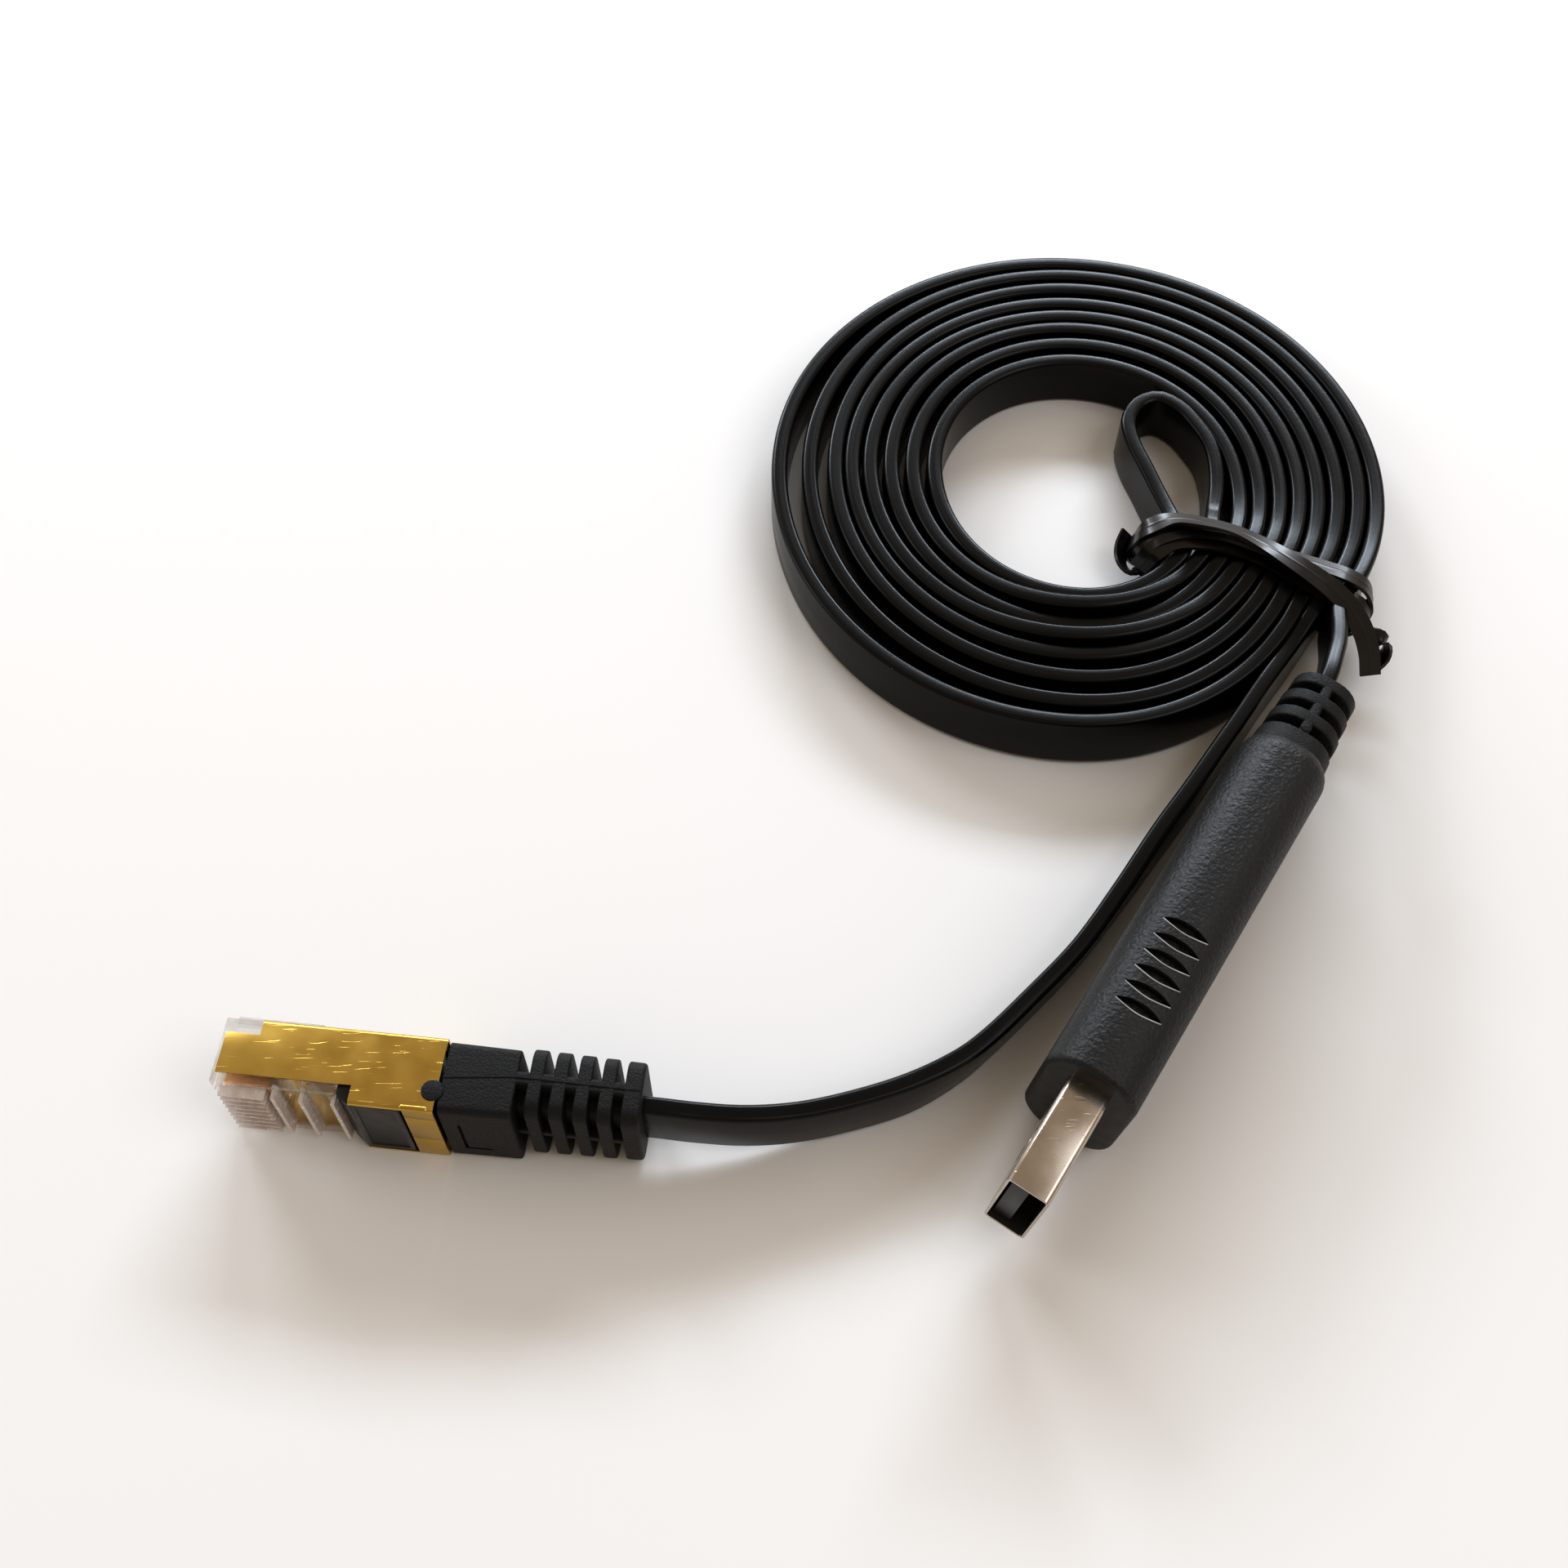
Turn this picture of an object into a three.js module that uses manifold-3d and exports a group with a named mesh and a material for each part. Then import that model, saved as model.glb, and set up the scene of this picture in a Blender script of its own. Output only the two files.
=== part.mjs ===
// USB-A to 8P8C console cable, as it lies on a table: the flat cable is folded in half and wound as a
// double spiral on its edge, a twist tie holds the coil, and a plug with its boot is on each end.
// Millimetres, +Z up, the surface it lies on at z = 0.
import * as THREE from "three";
import { mergeVertices } from "three/addons/utils/BufferGeometryUtils.js";
import Module from "manifold-3d";

const wasm = await Module();
wasm.setup();

// Gap between pieces that touch.
const GAP = 0.3;

// Flat cable, standing on its edge
const CABLE_WIDTH = 6.6;
const CABLE_THICKNESS = 2.1;
const CABLE_EDGE_RADIUS = 0.8;

// Coil of strands side by side: radii of the innermost and outermost strand centres
const STRANDS = 8;
const COIL_INNER_STRAND = 19.0;
const COIL_OUTER_STRAND = 37.2;
const COIL_SLACK = 0.15;
const COIL_SIDES = 72;
const COIL_EDGE_ROUND = 0.7;

// Twist tie: a band round the coil's section, on a line that crosses the strands
const TIE_CENTRE = [19.6, -15.8];
const TIE_ANGLE = THREE.MathUtils.degToRad(-23);
const TIE_LENGTH = 31;
const TIE_BAND_WIDTH = 4;
const TIE_THICKNESS = 0.9;
const TIE_CORNER = 1.4;

// USB-A plug: its tip's place, and its axis, which runs from the tip to the cable
const USB_TIP = [-14.3, -95.9];
const USB_YAW = THREE.MathUtils.degToRad(57);
const USB_ROLL = THREE.MathUtils.degToRad(6.4);
const SHELL_NARROW = 4.5;
const SHELL_WIDE = 12;
const SHELL_WALL = 0.3;
const SHELL_OUT = 12.4;
const SHELL_SEATED = 3;
const SHELL_CORNER = 0.6;
const WINDOW_SIZE = [2.2, 2.5];
const WINDOW_FROM_TIP = 5.2;
const WINDOW_SPREAD = 5.6;
const TONGUE_THICKNESS = 1.84;
const TONGUE_SETBACK = 0.6;
const TONGUE_BASE = 3;
const USB_CONTACT_PLACES = [-3.5, -1.0, 1.0, 3.5];
const USB_CONTACT_WIDTH = 1.0;
const USB_CONTACT_THICKNESS = 0.25;
const USB_CONTACT_LENGTH = 7.4;
const USB_CONTACT_START = 1.8;
const USB_CONTACT_SUNK = 0.15;
const USB_CONTACT_SIDE = 0.2;

// USB plug's moulded housing, with its grip grooves, and its boot
const HOUSING_THICKNESS = 10;
const HOUSING_HEIGHT = 17.5;
const HOUSING_LENGTH = 46.5;
const HOUSING_CORNER = 4.2;
const HOUSING_FRONT_ROUND = 0.7;
const HOUSING_BACK_ROUND = 3.2;
const GRIP_GROOVES = 6;
const GRIP_PITCH = 2.05;
const GRIP_FROM_FRONT = 8.4;
const GRIP_LENGTH = 5.4;
const GRIP_WIDTH = 1.15;
const GRIP_DEPTH = 0.9;
const USB_BOOT_LENGTH = 11;
const USB_BOOT_START = [8.8, 13];
const USB_BOOT_END = [7.2, 10.6];
const USB_BOOT_CORNER = 3.4;
const USB_BOOT_SLOTS = 3;
const USB_BOOT_PITCH = 2.9;
const USB_BOOT_SLOT = 1.3;
const USB_BOOT_FIRST_SLOT = 2.2;
const USB_BOOT_SPINE = 1.2;

// 8P8C plug on its side: its rear face's place, and its axis, which runs to the cable
const PLUG_REAR = [-69.8, -83.33];
const PLUG_YAW = THREE.MathUtils.degToRad(-6.2);
const PLUG_WIDTH = 11.68;
const PLUG_DEPTH = 7.9;
const PLUG_NOSE = 22.5;
const PLUG_CONTACT_FACE = 2.8;
const SHIELD_FRONT = 22.0;
const SHIELD_WALL = 0.25;
const SHIELD_NEAR_FRONT = 2.0;
const SHIELD_NOTCH = [18.6, 1.7];
const SHIELD_STEP = 8.4;
const SHIELD_BAND = 3.1;
const SHIELD_BEND = 1.75;
const SHIELD_RELIEF = 0.9;
const INSERT_SLOPE = 1.5;
const INSERT_INSET = 0.05;
const PANEL_FRAME = 0.6;
const PANEL_DEPTH = 0.15;
const CONTACTS = 8;
const CONTACT_PITCH = 1.02;
const CONTACT_THICKNESS = 0.35;
const CONTACT_SLOT = 0.6;
const CONTACT_LENGTH = 4.6;
const CONTACT_HEIGHT = 2.6;
const CONTACT_RECESS = 0.35;
const CONTACT_FROM_NOSE = 0.9;
const WIRE_DIAMETER = 0.7;
const CAVITY_HEIGHT = 1.6;
const WEDGES = [
  { start: -15.8, length: 2.6, depth: 1.8 },
  { start: -12.8, length: 1.9, depth: 1.4 },
];
const WEDGE_SIDE_WALL = 0.65;
const LATCH_WIDTH = 6;
const LATCH_TAB_WIDTH = 3.4;
const LATCH_THICKNESS = 0.9;
const LATCH_NECK = 13.5;
const LATCH_END = 6;
const LATCH_SIDE = 0.9;
const LATCH_WINDOW_END = 8;

// 8P8C boot: a block, then ribs that taper to the end ring
const BOOT_LENGTH = 20;
const BOOT_BLOCK_LENGTH = 7.5;
const BOOT_DEPTH = 7.5;
const BOOT_HEIGHT = PLUG_WIDTH;
const BOOT_TAPER = 0.97;
const BOOT_CORNER = 0.8;
const BOOT_TAIL_CORNER = 1.6;
const BOOT_END = [5.9, 11];
const BOOT_SLOTS = 5;
const BOOT_PITCH = 2.36;
const BOOT_SLOT = 0.95;
const BOOT_SPINE = 1.5;
const BOOT_CORE_WALL = 0.5;
const BOOT_WEB_HEIGHT = 0.8;
const BOOT_WEB_INSET = 0.4;
const EAR_RADIUS = 1.1;
const EAR_PLACE = [-0.55, -1.6];
const EAR_PROUD = 0.3;
const RECESS = { start: 1.9, end: 4.6, reach: 3.5, line: 0.35, depth: 0.3 };

// Routes where the cable isn't coiled: x, y and the height of the cable's centre, from the coil's centre
const LOW = CABLE_WIDTH / 2;
const HAIRPIN_ROUTE = [
  [12.5, -12.2, LOW], [11.4, -8.4, LOW], [10.2, -4.0, LOW], [8.9, 0.8, LOW], [7.8, 4.8, LOW],
  [7.6, 8.6, LOW], [9.2, 11.6, LOW], [11.9, 12.7, LOW], [14.4, 11.0, LOW], [16.1, 8.1, LOW],
  [17.4, 4.8, LOW], [17.7, 0.6, LOW], [17.2, -3.6, LOW], [16.2, -7.6, LOW], [15.6, -9.8, LOW],
];
const NETWORK_ROUTE = [
  [-45.3, -85.7, 5.3], [-40.5, -85.8, 4.7], [-35.7, -85.3, 4.1], [-30.8, -84.2, 3.75], [-23.6, -81.8, 3.5],
  [-18.3, -78.8, 3.4], [-15.5, -76.5, 3.35], [-10.8, -71.9, LOW], [-5.5, -66.3, LOW], [-0.4, -59.6, LOW],
  [5.0, -52.0, LOW], [9.3, -46.2, LOW], [13.2, -40.7, LOW], [15.3, -37.8, LOW], [16.55, -36.0, LOW],
];
const USB_ROUTE = [[25.0, -34.7, 8.6], [26.0, -32.2, 8.1], [26.8, -30.2, 7.6], [27.3, -28.8, 7.2]];

const X = new THREE.Vector3(1, 0, 0);
const Y = new THREE.Vector3(0, 1, 0);
const Z = new THREE.Vector3(0, 0, 1);

// A closed geometry as a solid that can be joined and cut.
function solidOf(geometry) {
  const plain = geometry.clone();
  plain.deleteAttribute("normal");
  plain.deleteAttribute("uv");
  const merged = mergeVertices(plain, 1e-5);
  return new wasm.Manifold(new wasm.Mesh({
    numProp: 3,
    vertProperties: new Float32Array(merged.attributes.position.array),
    triVerts: new Uint32Array(merged.index.array),
  }));
}

function geometryOf(solid) {
  const mesh = solid.getMesh();
  const geometry = new THREE.BufferGeometry();
  geometry.setAttribute("position", new THREE.BufferAttribute(mesh.vertProperties, 3));
  geometry.setIndex(new THREE.BufferAttribute(mesh.triVerts, 1));
  geometry.computeVertexNormals();
  return geometry;
}

function block([x0, x1], [y0, y1], [z0, z1]) {
  const box = new THREE.BoxGeometry(x1 - x0, y1 - y0, z1 - z0);
  box.translate((x0 + x1) / 2, (y0 + y1) / 2, (z0 + z1) / 2);
  return solidOf(box);
}

function roundedPoints(width, height, radius, segments) {
  const [w, h] = [width / 2 - radius, height / 2 - radius];
  const corners = [[w, -h, -90], [w, h, 0], [-w, h, 90], [-w, -h, 180]];
  return corners.flatMap(([x, y, start]) => Array.from({ length: segments + 1 }, (_, i) => {
    const turn = THREE.MathUtils.degToRad(start + (90 * i) / segments);
    return new THREE.Vector2(x + radius * Math.cos(turn), y + radius * Math.sin(turn));
  }));
}

function roundedRectangle(width, height, radius, segments = 5) {
  return new THREE.Shape(roundedPoints(width, height, radius, segments));
}

function outline(points) {
  return new THREE.Shape(points.map(([x, y]) => new THREE.Vector2(x, y)));
}

function extruded(shape, from, to, basis) {
  const geometry = new THREE.ExtrudeGeometry(shape, { depth: to - from, bevelEnabled: false });
  geometry.translate(0, 0, from);
  if (basis) geometry.applyMatrix4(new THREE.Matrix4().makeBasis(...basis));
  return geometry;
}

// A shape drawn in X and Y, solid from z0 to z1.
function upright(shape, z0, z1) {
  return solidOf(extruded(shape, z0, z1));
}

// A shape drawn in Y and Z, along X from x0 to x1, whose far end is scaled by the two taper ratios.
function alongX(shape, x0, x1, taper = [1, 1]) {
  const geometry = extruded(shape, x0, x1, [Y, Z, X]);
  const place = geometry.attributes.position;
  for (let i = 0; i < place.count; i += 1) {
    const part = (place.getX(i) - x0) / (x1 - x0);
    place.setY(i, place.getY(i) * THREE.MathUtils.lerp(1, taper[0], part));
    place.setZ(i, place.getZ(i) * THREE.MathUtils.lerp(1, taper[1], part));
  }
  return solidOf(geometry);
}

// A shape drawn in X and Z, along Y from y0 to y1.
function alongY(shape, y0, y1) {
  return solidOf(extruded(shape, -y1, -y0, [X, Z, Y.clone().negate()]));
}

function cut(solid, cutters) {
  return cutters.reduce((left, cutter) => left.subtract(cutter), solid);
}

// The flat cable along a route, upright all the way, on a smooth curve.
function cableAlong(route, grow = 0) {
  const curve = new THREE.CatmullRomCurve3(route.map((p) => new THREE.Vector3(...p)), false, "centripetal");
  const section = roundedPoints(
    CABLE_THICKNESS + 2 * grow, CABLE_WIDTH + 2 * grow, CABLE_EDGE_RADIUS + grow, 1,
  );
  const steps = Math.round(curve.getLength() / (CABLE_THICKNESS * 1.2));
  const positions = [];
  const faces = [];
  for (let i = 0; i <= steps; i += 1) {
    const centre = curve.getPointAt(i / steps);
    const ahead = curve.getTangentAt(i / steps);
    const side = new THREE.Vector3(-ahead.y, ahead.x, 0).normalize();
    for (const point of section) {
      positions.push(centre.x + side.x * point.x, centre.y + side.y * point.x, centre.z + point.y);
    }
  }
  const count = section.length;
  for (let i = 0; i < steps; i += 1) {
    for (let j = 0; j < count; j += 1) {
      const [a, b] = [i * count + j, i * count + ((j + 1) % count)];
      faces.push(a, b, a + count, b, b + count, a + count);
    }
  }
  const last = steps * count;
  for (let j = 1; j < count - 1; j += 1) {
    faces.push(0, j + 1, j, last, last + j, last + j + 1);
  }
  const geometry = new THREE.BufferGeometry();
  geometry.setAttribute("position", new THREE.Float32BufferAttribute(positions, 3));
  geometry.setIndex(faces);
  return geometry;
}

// The same route, longer by a distance at each end.
function extended(route, distance) {
  const grown = route.map((p) => new THREE.Vector3(...p));
  const [first, last] = [grown[0], grown[grown.length - 1]];
  const start = first.clone().sub(grown[1]).setLength(distance).add(first);
  const end = last.clone().sub(grown[grown.length - 2]).setLength(distance).add(last);
  return [start, ...grown, end].map((p) => p.toArray());
}

// The band that a twist tie fills in its own frame: local X along its longer side.
function tieBand(grow) {
  const height = CABLE_WIDTH + 2 * TIE_THICKNESS + GAP;
  const outer = roundedRectangle(TIE_LENGTH + 2 * grow, height + 2 * grow, TIE_CORNER);
  const inner = roundedRectangle(
    TIE_LENGTH - 2 * TIE_THICKNESS - 2 * grow, height - 2 * TIE_THICKNESS - 2 * grow,
    TIE_CORNER - TIE_THICKNESS / 2,
  );
  const reach = TIE_BAND_WIDTH / 2 + grow;
  return alongY(outer, -reach, reach).subtract(alongY(inner, -reach - 1, reach + 1));
}

function placedTie(grow) {
  const lift = (CABLE_WIDTH + 2 * TIE_THICKNESS + GAP) / 2;
  const geometry = geometryOf(tieBand(grow));
  geometry.rotateZ(TIE_ANGLE);
  geometry.translate(...TIE_CENTRE, lift);
  return solidOf(geometry);
}

// Ring with the coil's strands as ridges round its top.
function coil() {
  const inner = COIL_INNER_STRAND - CABLE_THICKNESS / 2 - COIL_SLACK;
  const outer = COIL_OUTER_STRAND + CABLE_THICKNESS / 2 + COIL_SLACK;
  const pitch = (COIL_OUTER_STRAND - COIL_INNER_STRAND) / (STRANDS - 1);
  const flat = CABLE_THICKNESS / 2 - COIL_EDGE_ROUND / 2;
  const profile = [[inner, 0], [outer, 0], [outer, CABLE_WIDTH - COIL_EDGE_ROUND]];
  for (let strand = STRANDS - 1; strand >= 0; strand -= 1) {
    const radius = COIL_INNER_STRAND + strand * pitch;
    profile.push([radius + flat, CABLE_WIDTH], [radius - flat, CABLE_WIDTH]);
    if (strand > 0) profile.push([radius - pitch / 2, CABLE_WIDTH - COIL_EDGE_ROUND]);
  }
  profile.push([inner, CABLE_WIDTH - COIL_EDGE_ROUND], [inner, 0]);
  const ring = new THREE.LatheGeometry(profile.map(([r, z]) => new THREE.Vector2(r, z)), COIL_SIDES);
  ring.rotateX(Math.PI / 2);
  const pocket = solidOf(cableAlong(extended(HAIRPIN_ROUTE, GAP), GAP));
  return cut(solidOf(ring), [pocket, placedTie(GAP)]);
}

function hairpin() {
  return solidOf(cableAlong(HAIRPIN_ROUTE)).subtract(placedTie(GAP));
}

// USB-A plug, in its own frame
const HOUSING_START = SHELL_OUT;
const HOUSING_END = HOUSING_START + HOUSING_LENGTH;
const USB_END = HOUSING_END + USB_BOOT_LENGTH;
const SHELL_END = SHELL_OUT + SHELL_SEATED;

function usbShell() {
  const outer = alongX(roundedRectangle(SHELL_NARROW, SHELL_WIDE, SHELL_CORNER, 2), 0, SHELL_END);
  const inner = alongX(
    roundedRectangle(SHELL_NARROW - 2 * SHELL_WALL, SHELL_WIDE - 2 * SHELL_WALL, SHELL_CORNER - SHELL_WALL, 2),
    -1, SHELL_END + 1,
  );
  const windows = [-1, 1].map((side) => block(
    [WINDOW_FROM_TIP, WINDOW_FROM_TIP + WINDOW_SIZE[0]], [-SHELL_NARROW, SHELL_NARROW],
    [side * WINDOW_SPREAD / 2 - WINDOW_SIZE[1] / 2, side * WINDOW_SPREAD / 2 + WINDOW_SIZE[1] / 2],
  ));
  return cut(outer, [inner, ...windows]);
}

const TONGUE_BACK = SHELL_NARROW / 2 - SHELL_WALL - GAP;
const TONGUE_FACE = TONGUE_BACK - TONGUE_THICKNESS;
const TONGUE_HALF = SHELL_WIDE / 2 - SHELL_WALL - GAP;

function usbTongue() {
  const blade = block([TONGUE_SETBACK, SHELL_END], [TONGUE_FACE, TONGUE_BACK], [-TONGUE_HALF, TONGUE_HALF]);
  const base = block([SHELL_END - TONGUE_BASE, SHELL_END], [-TONGUE_BACK, TONGUE_BACK], [-TONGUE_HALF, TONGUE_HALF]);
  const channels = USB_CONTACT_PLACES.map((z) => block(
    [USB_CONTACT_START - GAP, USB_CONTACT_START + USB_CONTACT_LENGTH + GAP],
    [TONGUE_FACE - 1, TONGUE_FACE + USB_CONTACT_SUNK + GAP],
    [z - USB_CONTACT_WIDTH / 2 - USB_CONTACT_SIDE, z + USB_CONTACT_WIDTH / 2 + USB_CONTACT_SIDE],
  ));
  return cut(blade.add(base), channels);
}

function usbContact(z) {
  return block(
    [USB_CONTACT_START, USB_CONTACT_START + USB_CONTACT_LENGTH],
    [TONGUE_FACE + USB_CONTACT_SUNK - USB_CONTACT_THICKNESS, TONGUE_FACE + USB_CONTACT_SUNK],
    [z - USB_CONTACT_WIDTH / 2, z + USB_CONTACT_WIDTH / 2],
  );
}

// A bar's outline from x0 to x1, half as wide as given, with its own corner radius at each end.
function barOutline(x0, x1, half, startRadius, endRadius) {
  const shape = new THREE.Shape();
  shape.moveTo(x0 + startRadius, -half);
  shape.lineTo(x1 - endRadius, -half);
  shape.absarc(x1 - endRadius, -half + endRadius, endRadius, -Math.PI / 2, 0);
  shape.absarc(x1 - endRadius, half - endRadius, endRadius, 0, Math.PI / 2);
  shape.lineTo(x0 + startRadius, half);
  shape.absarc(x0 + startRadius, half - startRadius, startRadius, Math.PI / 2, Math.PI);
  shape.absarc(x0 + startRadius, -half + startRadius, startRadius, Math.PI, Math.PI * 1.5);
  return new THREE.Shape(shape.getPoints(4));
}

// A lens between two arcs, its length along Y, its centre at x.
function lensOutline(x, length, width) {
  const steps = 6;
  const arc = (side) => Array.from({ length: steps }, (_, i) => {
    const part = -1 + (2 * i) / steps;
    return [x + side * (width / 2) * (1 - part * part), side * part * (length / 2)];
  });
  return outline([...arc(1), ...arc(-1)]);
}

function usbHousing() {
  const [halfWide, halfHigh] = [HOUSING_THICKNESS / 2, HOUSING_HEIGHT / 2];
  const section = roundedRectangle(HOUSING_THICKNESS, HOUSING_HEIGHT, HOUSING_CORNER, 8);
  const ends = [HOUSING_START, HOUSING_END];
  const rounds = [HOUSING_FRONT_ROUND, HOUSING_BACK_ROUND];
  const body = alongX(section, ...ends)
    .intersect(upright(barOutline(...ends, halfWide, ...rounds), -halfHigh - 1, halfHigh + 1))
    .intersect(alongY(barOutline(...ends, halfHigh, ...rounds), -halfWide - 1, halfWide + 1));
  const socket = alongX(
    roundedRectangle(SHELL_NARROW + 2 * GAP, SHELL_WIDE + 2 * GAP, SHELL_CORNER + GAP, 2),
    HOUSING_START - 1, SHELL_END + GAP,
  );
  const grooves = [];
  for (let i = 0; i < GRIP_GROOVES; i += 1) {
    const lens = lensOutline(HOUSING_START + GRIP_FROM_FRONT + i * GRIP_PITCH, GRIP_LENGTH, GRIP_WIDTH);
    grooves.push(upright(lens, halfHigh - GRIP_DEPTH, halfHigh + 1));
    grooves.push(upright(lens, -halfHigh - 1, -halfHigh + GRIP_DEPTH));
  }
  return cut(body, [socket, ...grooves]);
}

// Slots on both sides of a boot, which leave its spine and the core that the cable runs in.
function bootSlots(places, slotWidth, spine, core, reach) {
  const slots = [];
  for (const x of places) {
    for (const side of [-1, 1]) {
      const near = side < 0 ? [-reach, -spine / 2] : [spine / 2, reach];
      const whole = block([x, x + slotWidth], near, [-reach, reach]);
      slots.push(whole.subtract(block([x - 1, x + slotWidth + 1], [-core[0] / 2, core[0] / 2],
        [-core[1] / 2, core[1] / 2])));
    }
  }
  return slots;
}

function usbBoot() {
  const taper = [USB_BOOT_END[0] / USB_BOOT_START[0], USB_BOOT_END[1] / USB_BOOT_START[1]];
  const section = roundedRectangle(...USB_BOOT_START, USB_BOOT_CORNER, 6);
  const body = alongX(section, HOUSING_END + GAP, USB_END, taper);
  const places = Array.from({ length: USB_BOOT_SLOTS },
    (_, i) => HOUSING_END + USB_BOOT_FIRST_SLOT + i * USB_BOOT_PITCH);
  const core = [CABLE_THICKNESS + 2 * BOOT_CORE_WALL, CABLE_WIDTH + 2 * BOOT_CORE_WALL];
  return cut(body, bootSlots(places, USB_BOOT_SLOT, USB_BOOT_SPINE, core, USB_BOOT_START[1]));
}

// 8P8C plug, in its own frame: its rear face at x = 0, its contact side at -Y
const HALF_DEPTH = PLUG_DEPTH / 2;
const PLUG_MIDDLE = PLUG_WIDTH / 2;
const INNER_LOW = SHIELD_WALL + GAP;
const INNER_HIGH = PLUG_WIDTH - SHIELD_WALL - GAP;
const INNER_BACK = HALF_DEPTH - SHIELD_WALL - GAP;
const BEYOND = PLUG_WIDTH;

function networkShield() {
  const body = block([-SHIELD_FRONT, 0], [-HALF_DEPTH, HALF_DEPTH], [0, PLUG_WIDTH]);
  const inside = [SHIELD_WALL, PLUG_WIDTH - SHIELD_WALL];
  const hollow = block([-BEYOND * 2, BEYOND], [-HALF_DEPTH + SHIELD_WALL, HALF_DEPTH - SHIELD_WALL], inside);
  const contactSide = block([-BEYOND * 2, -SHIELD_BAND], [-BEYOND, 0], inside);
  const nearCorner = block([-BEYOND * 2, -SHIELD_STEP], [-BEYOND, -SHIELD_NEAR_FRONT], [-1, BEYOND + 1]);
  const farCorner = block([-BEYOND * 2, -SHIELD_NOTCH[0]], [HALF_DEPTH - SHIELD_NOTCH[1], BEYOND],
    [-1, BEYOND + 1]);
  const latchWindow = block([-BEYOND * 2, -LATCH_WINDOW_END], [0, BEYOND],
    [PLUG_MIDDLE - LATCH_WIDTH / 2 - LATCH_SIDE, PLUG_MIDDLE + LATCH_WIDTH / 2 + LATCH_SIDE]);
  const bend = new THREE.Shape();
  bend.absellipse(0, -HALF_DEPTH, SHIELD_BAND, SHIELD_BEND, 0, Math.PI * 2);
  const bends = new THREE.Shape(bend.getPoints(6));
  const reliefs = [
    upright(bends, PLUG_WIDTH - SHIELD_RELIEF, PLUG_WIDTH + 1), upright(bends, -1, SHIELD_RELIEF),
  ];
  const earHole = upright(earOutline(GAP), PLUG_WIDTH - SHIELD_WALL - 1, PLUG_WIDTH + 1);
  return cut(body, [hollow, contactSide, nearCorner, farCorner, latchWindow, ...reliefs, earHole]);
}

function earOutline(grow) {
  const shape = new THREE.Shape();
  shape.absarc(...EAR_PLACE, EAR_RADIUS + grow, 0, Math.PI * 2);
  return new THREE.Shape(shape.getPoints(8));
}

function contactHeights() {
  return Array.from({ length: CONTACTS }, (_, i) => PLUG_MIDDLE + (i - (CONTACTS - 1) / 2) * CONTACT_PITCH);
}

const CONTACT_START = -PLUG_NOSE + CONTACT_FROM_NOSE;
const CONTACT_TOP = -PLUG_CONTACT_FACE + CONTACT_RECESS;
const CAVITY_FRONT = CONTACT_START + CONTACT_LENGTH + 3 * GAP;
const CAVITY_BOTTOM = CONTACT_TOP + CONTACT_HEIGHT + 2 * GAP;
const CLEAR_REAR = -SHIELD_STEP - INSERT_SLOPE - GAP;

function networkBody() {
  const back = HALF_DEPTH;
  const body = upright(outline([
    [-PLUG_NOSE, -PLUG_CONTACT_FACE], [CLEAR_REAR, -PLUG_CONTACT_FACE], [CLEAR_REAR, INNER_BACK],
    [-SHIELD_NOTCH[0] - GAP, INNER_BACK], [-SHIELD_NOTCH[0] - GAP, back], [-PLUG_NOSE, back],
  ]), INNER_LOW, INNER_HIGH);
  const slots = contactHeights().map((z) => block(
    [-BEYOND * 3, CONTACT_START + CONTACT_LENGTH + GAP], [-BEYOND, CONTACT_TOP + CONTACT_HEIGHT + GAP],
    [z - CONTACT_SLOT / 2, z + CONTACT_SLOT / 2],
  ));
  const wedges = WEDGES.map(({ start, length, depth }) => upright(outline([
    [start, -PLUG_CONTACT_FACE - 1], [start + length, -PLUG_CONTACT_FACE - 1],
    [start + length, -PLUG_CONTACT_FACE], [start, -PLUG_CONTACT_FACE + depth],
  ]), INNER_LOW + WEDGE_SIDE_WALL, INNER_HIGH - WEDGE_SIDE_WALL));
  const heights = contactHeights();
  const cavity = block(
    [CAVITY_FRONT, BEYOND], [CAVITY_BOTTOM, CAVITY_BOTTOM + CAVITY_HEIGHT],
    [heights[0] - CONTACT_PITCH / 2, heights[CONTACTS - 1] + CONTACT_PITCH / 2],
  );
  return cut(body, [...slots, ...wedges, cavity]).add(networkLatch());
}

// The latch tab, moulded in one with the clear body and lying close along its far side.
function networkLatch() {
  const front = -PLUG_NOSE + GAP;
  const neck = -LATCH_NECK;
  const [wide, narrow] = [LATCH_WIDTH / 2, LATCH_TAB_WIDTH / 2];
  const plan = outline([
    [front, -wide], [neck, -wide], [neck + 1, -narrow], [-LATCH_END, -narrow],
    [-LATCH_END, narrow], [neck + 1, narrow], [neck, wide], [front, wide],
  ]);
  const lever = alongY(plan, HALF_DEPTH + GAP, HALF_DEPTH + GAP + LATCH_THICKNESS);
  const root = block([front, -SHIELD_NOTCH[0] - 2 * GAP], [INNER_BACK, HALF_DEPTH + 2 * GAP], [-wide, wide]);
  const raised = geometryOf(lever.add(root));
  raised.translate(0, 0, PLUG_MIDDLE);
  return solidOf(raised);
}

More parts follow.
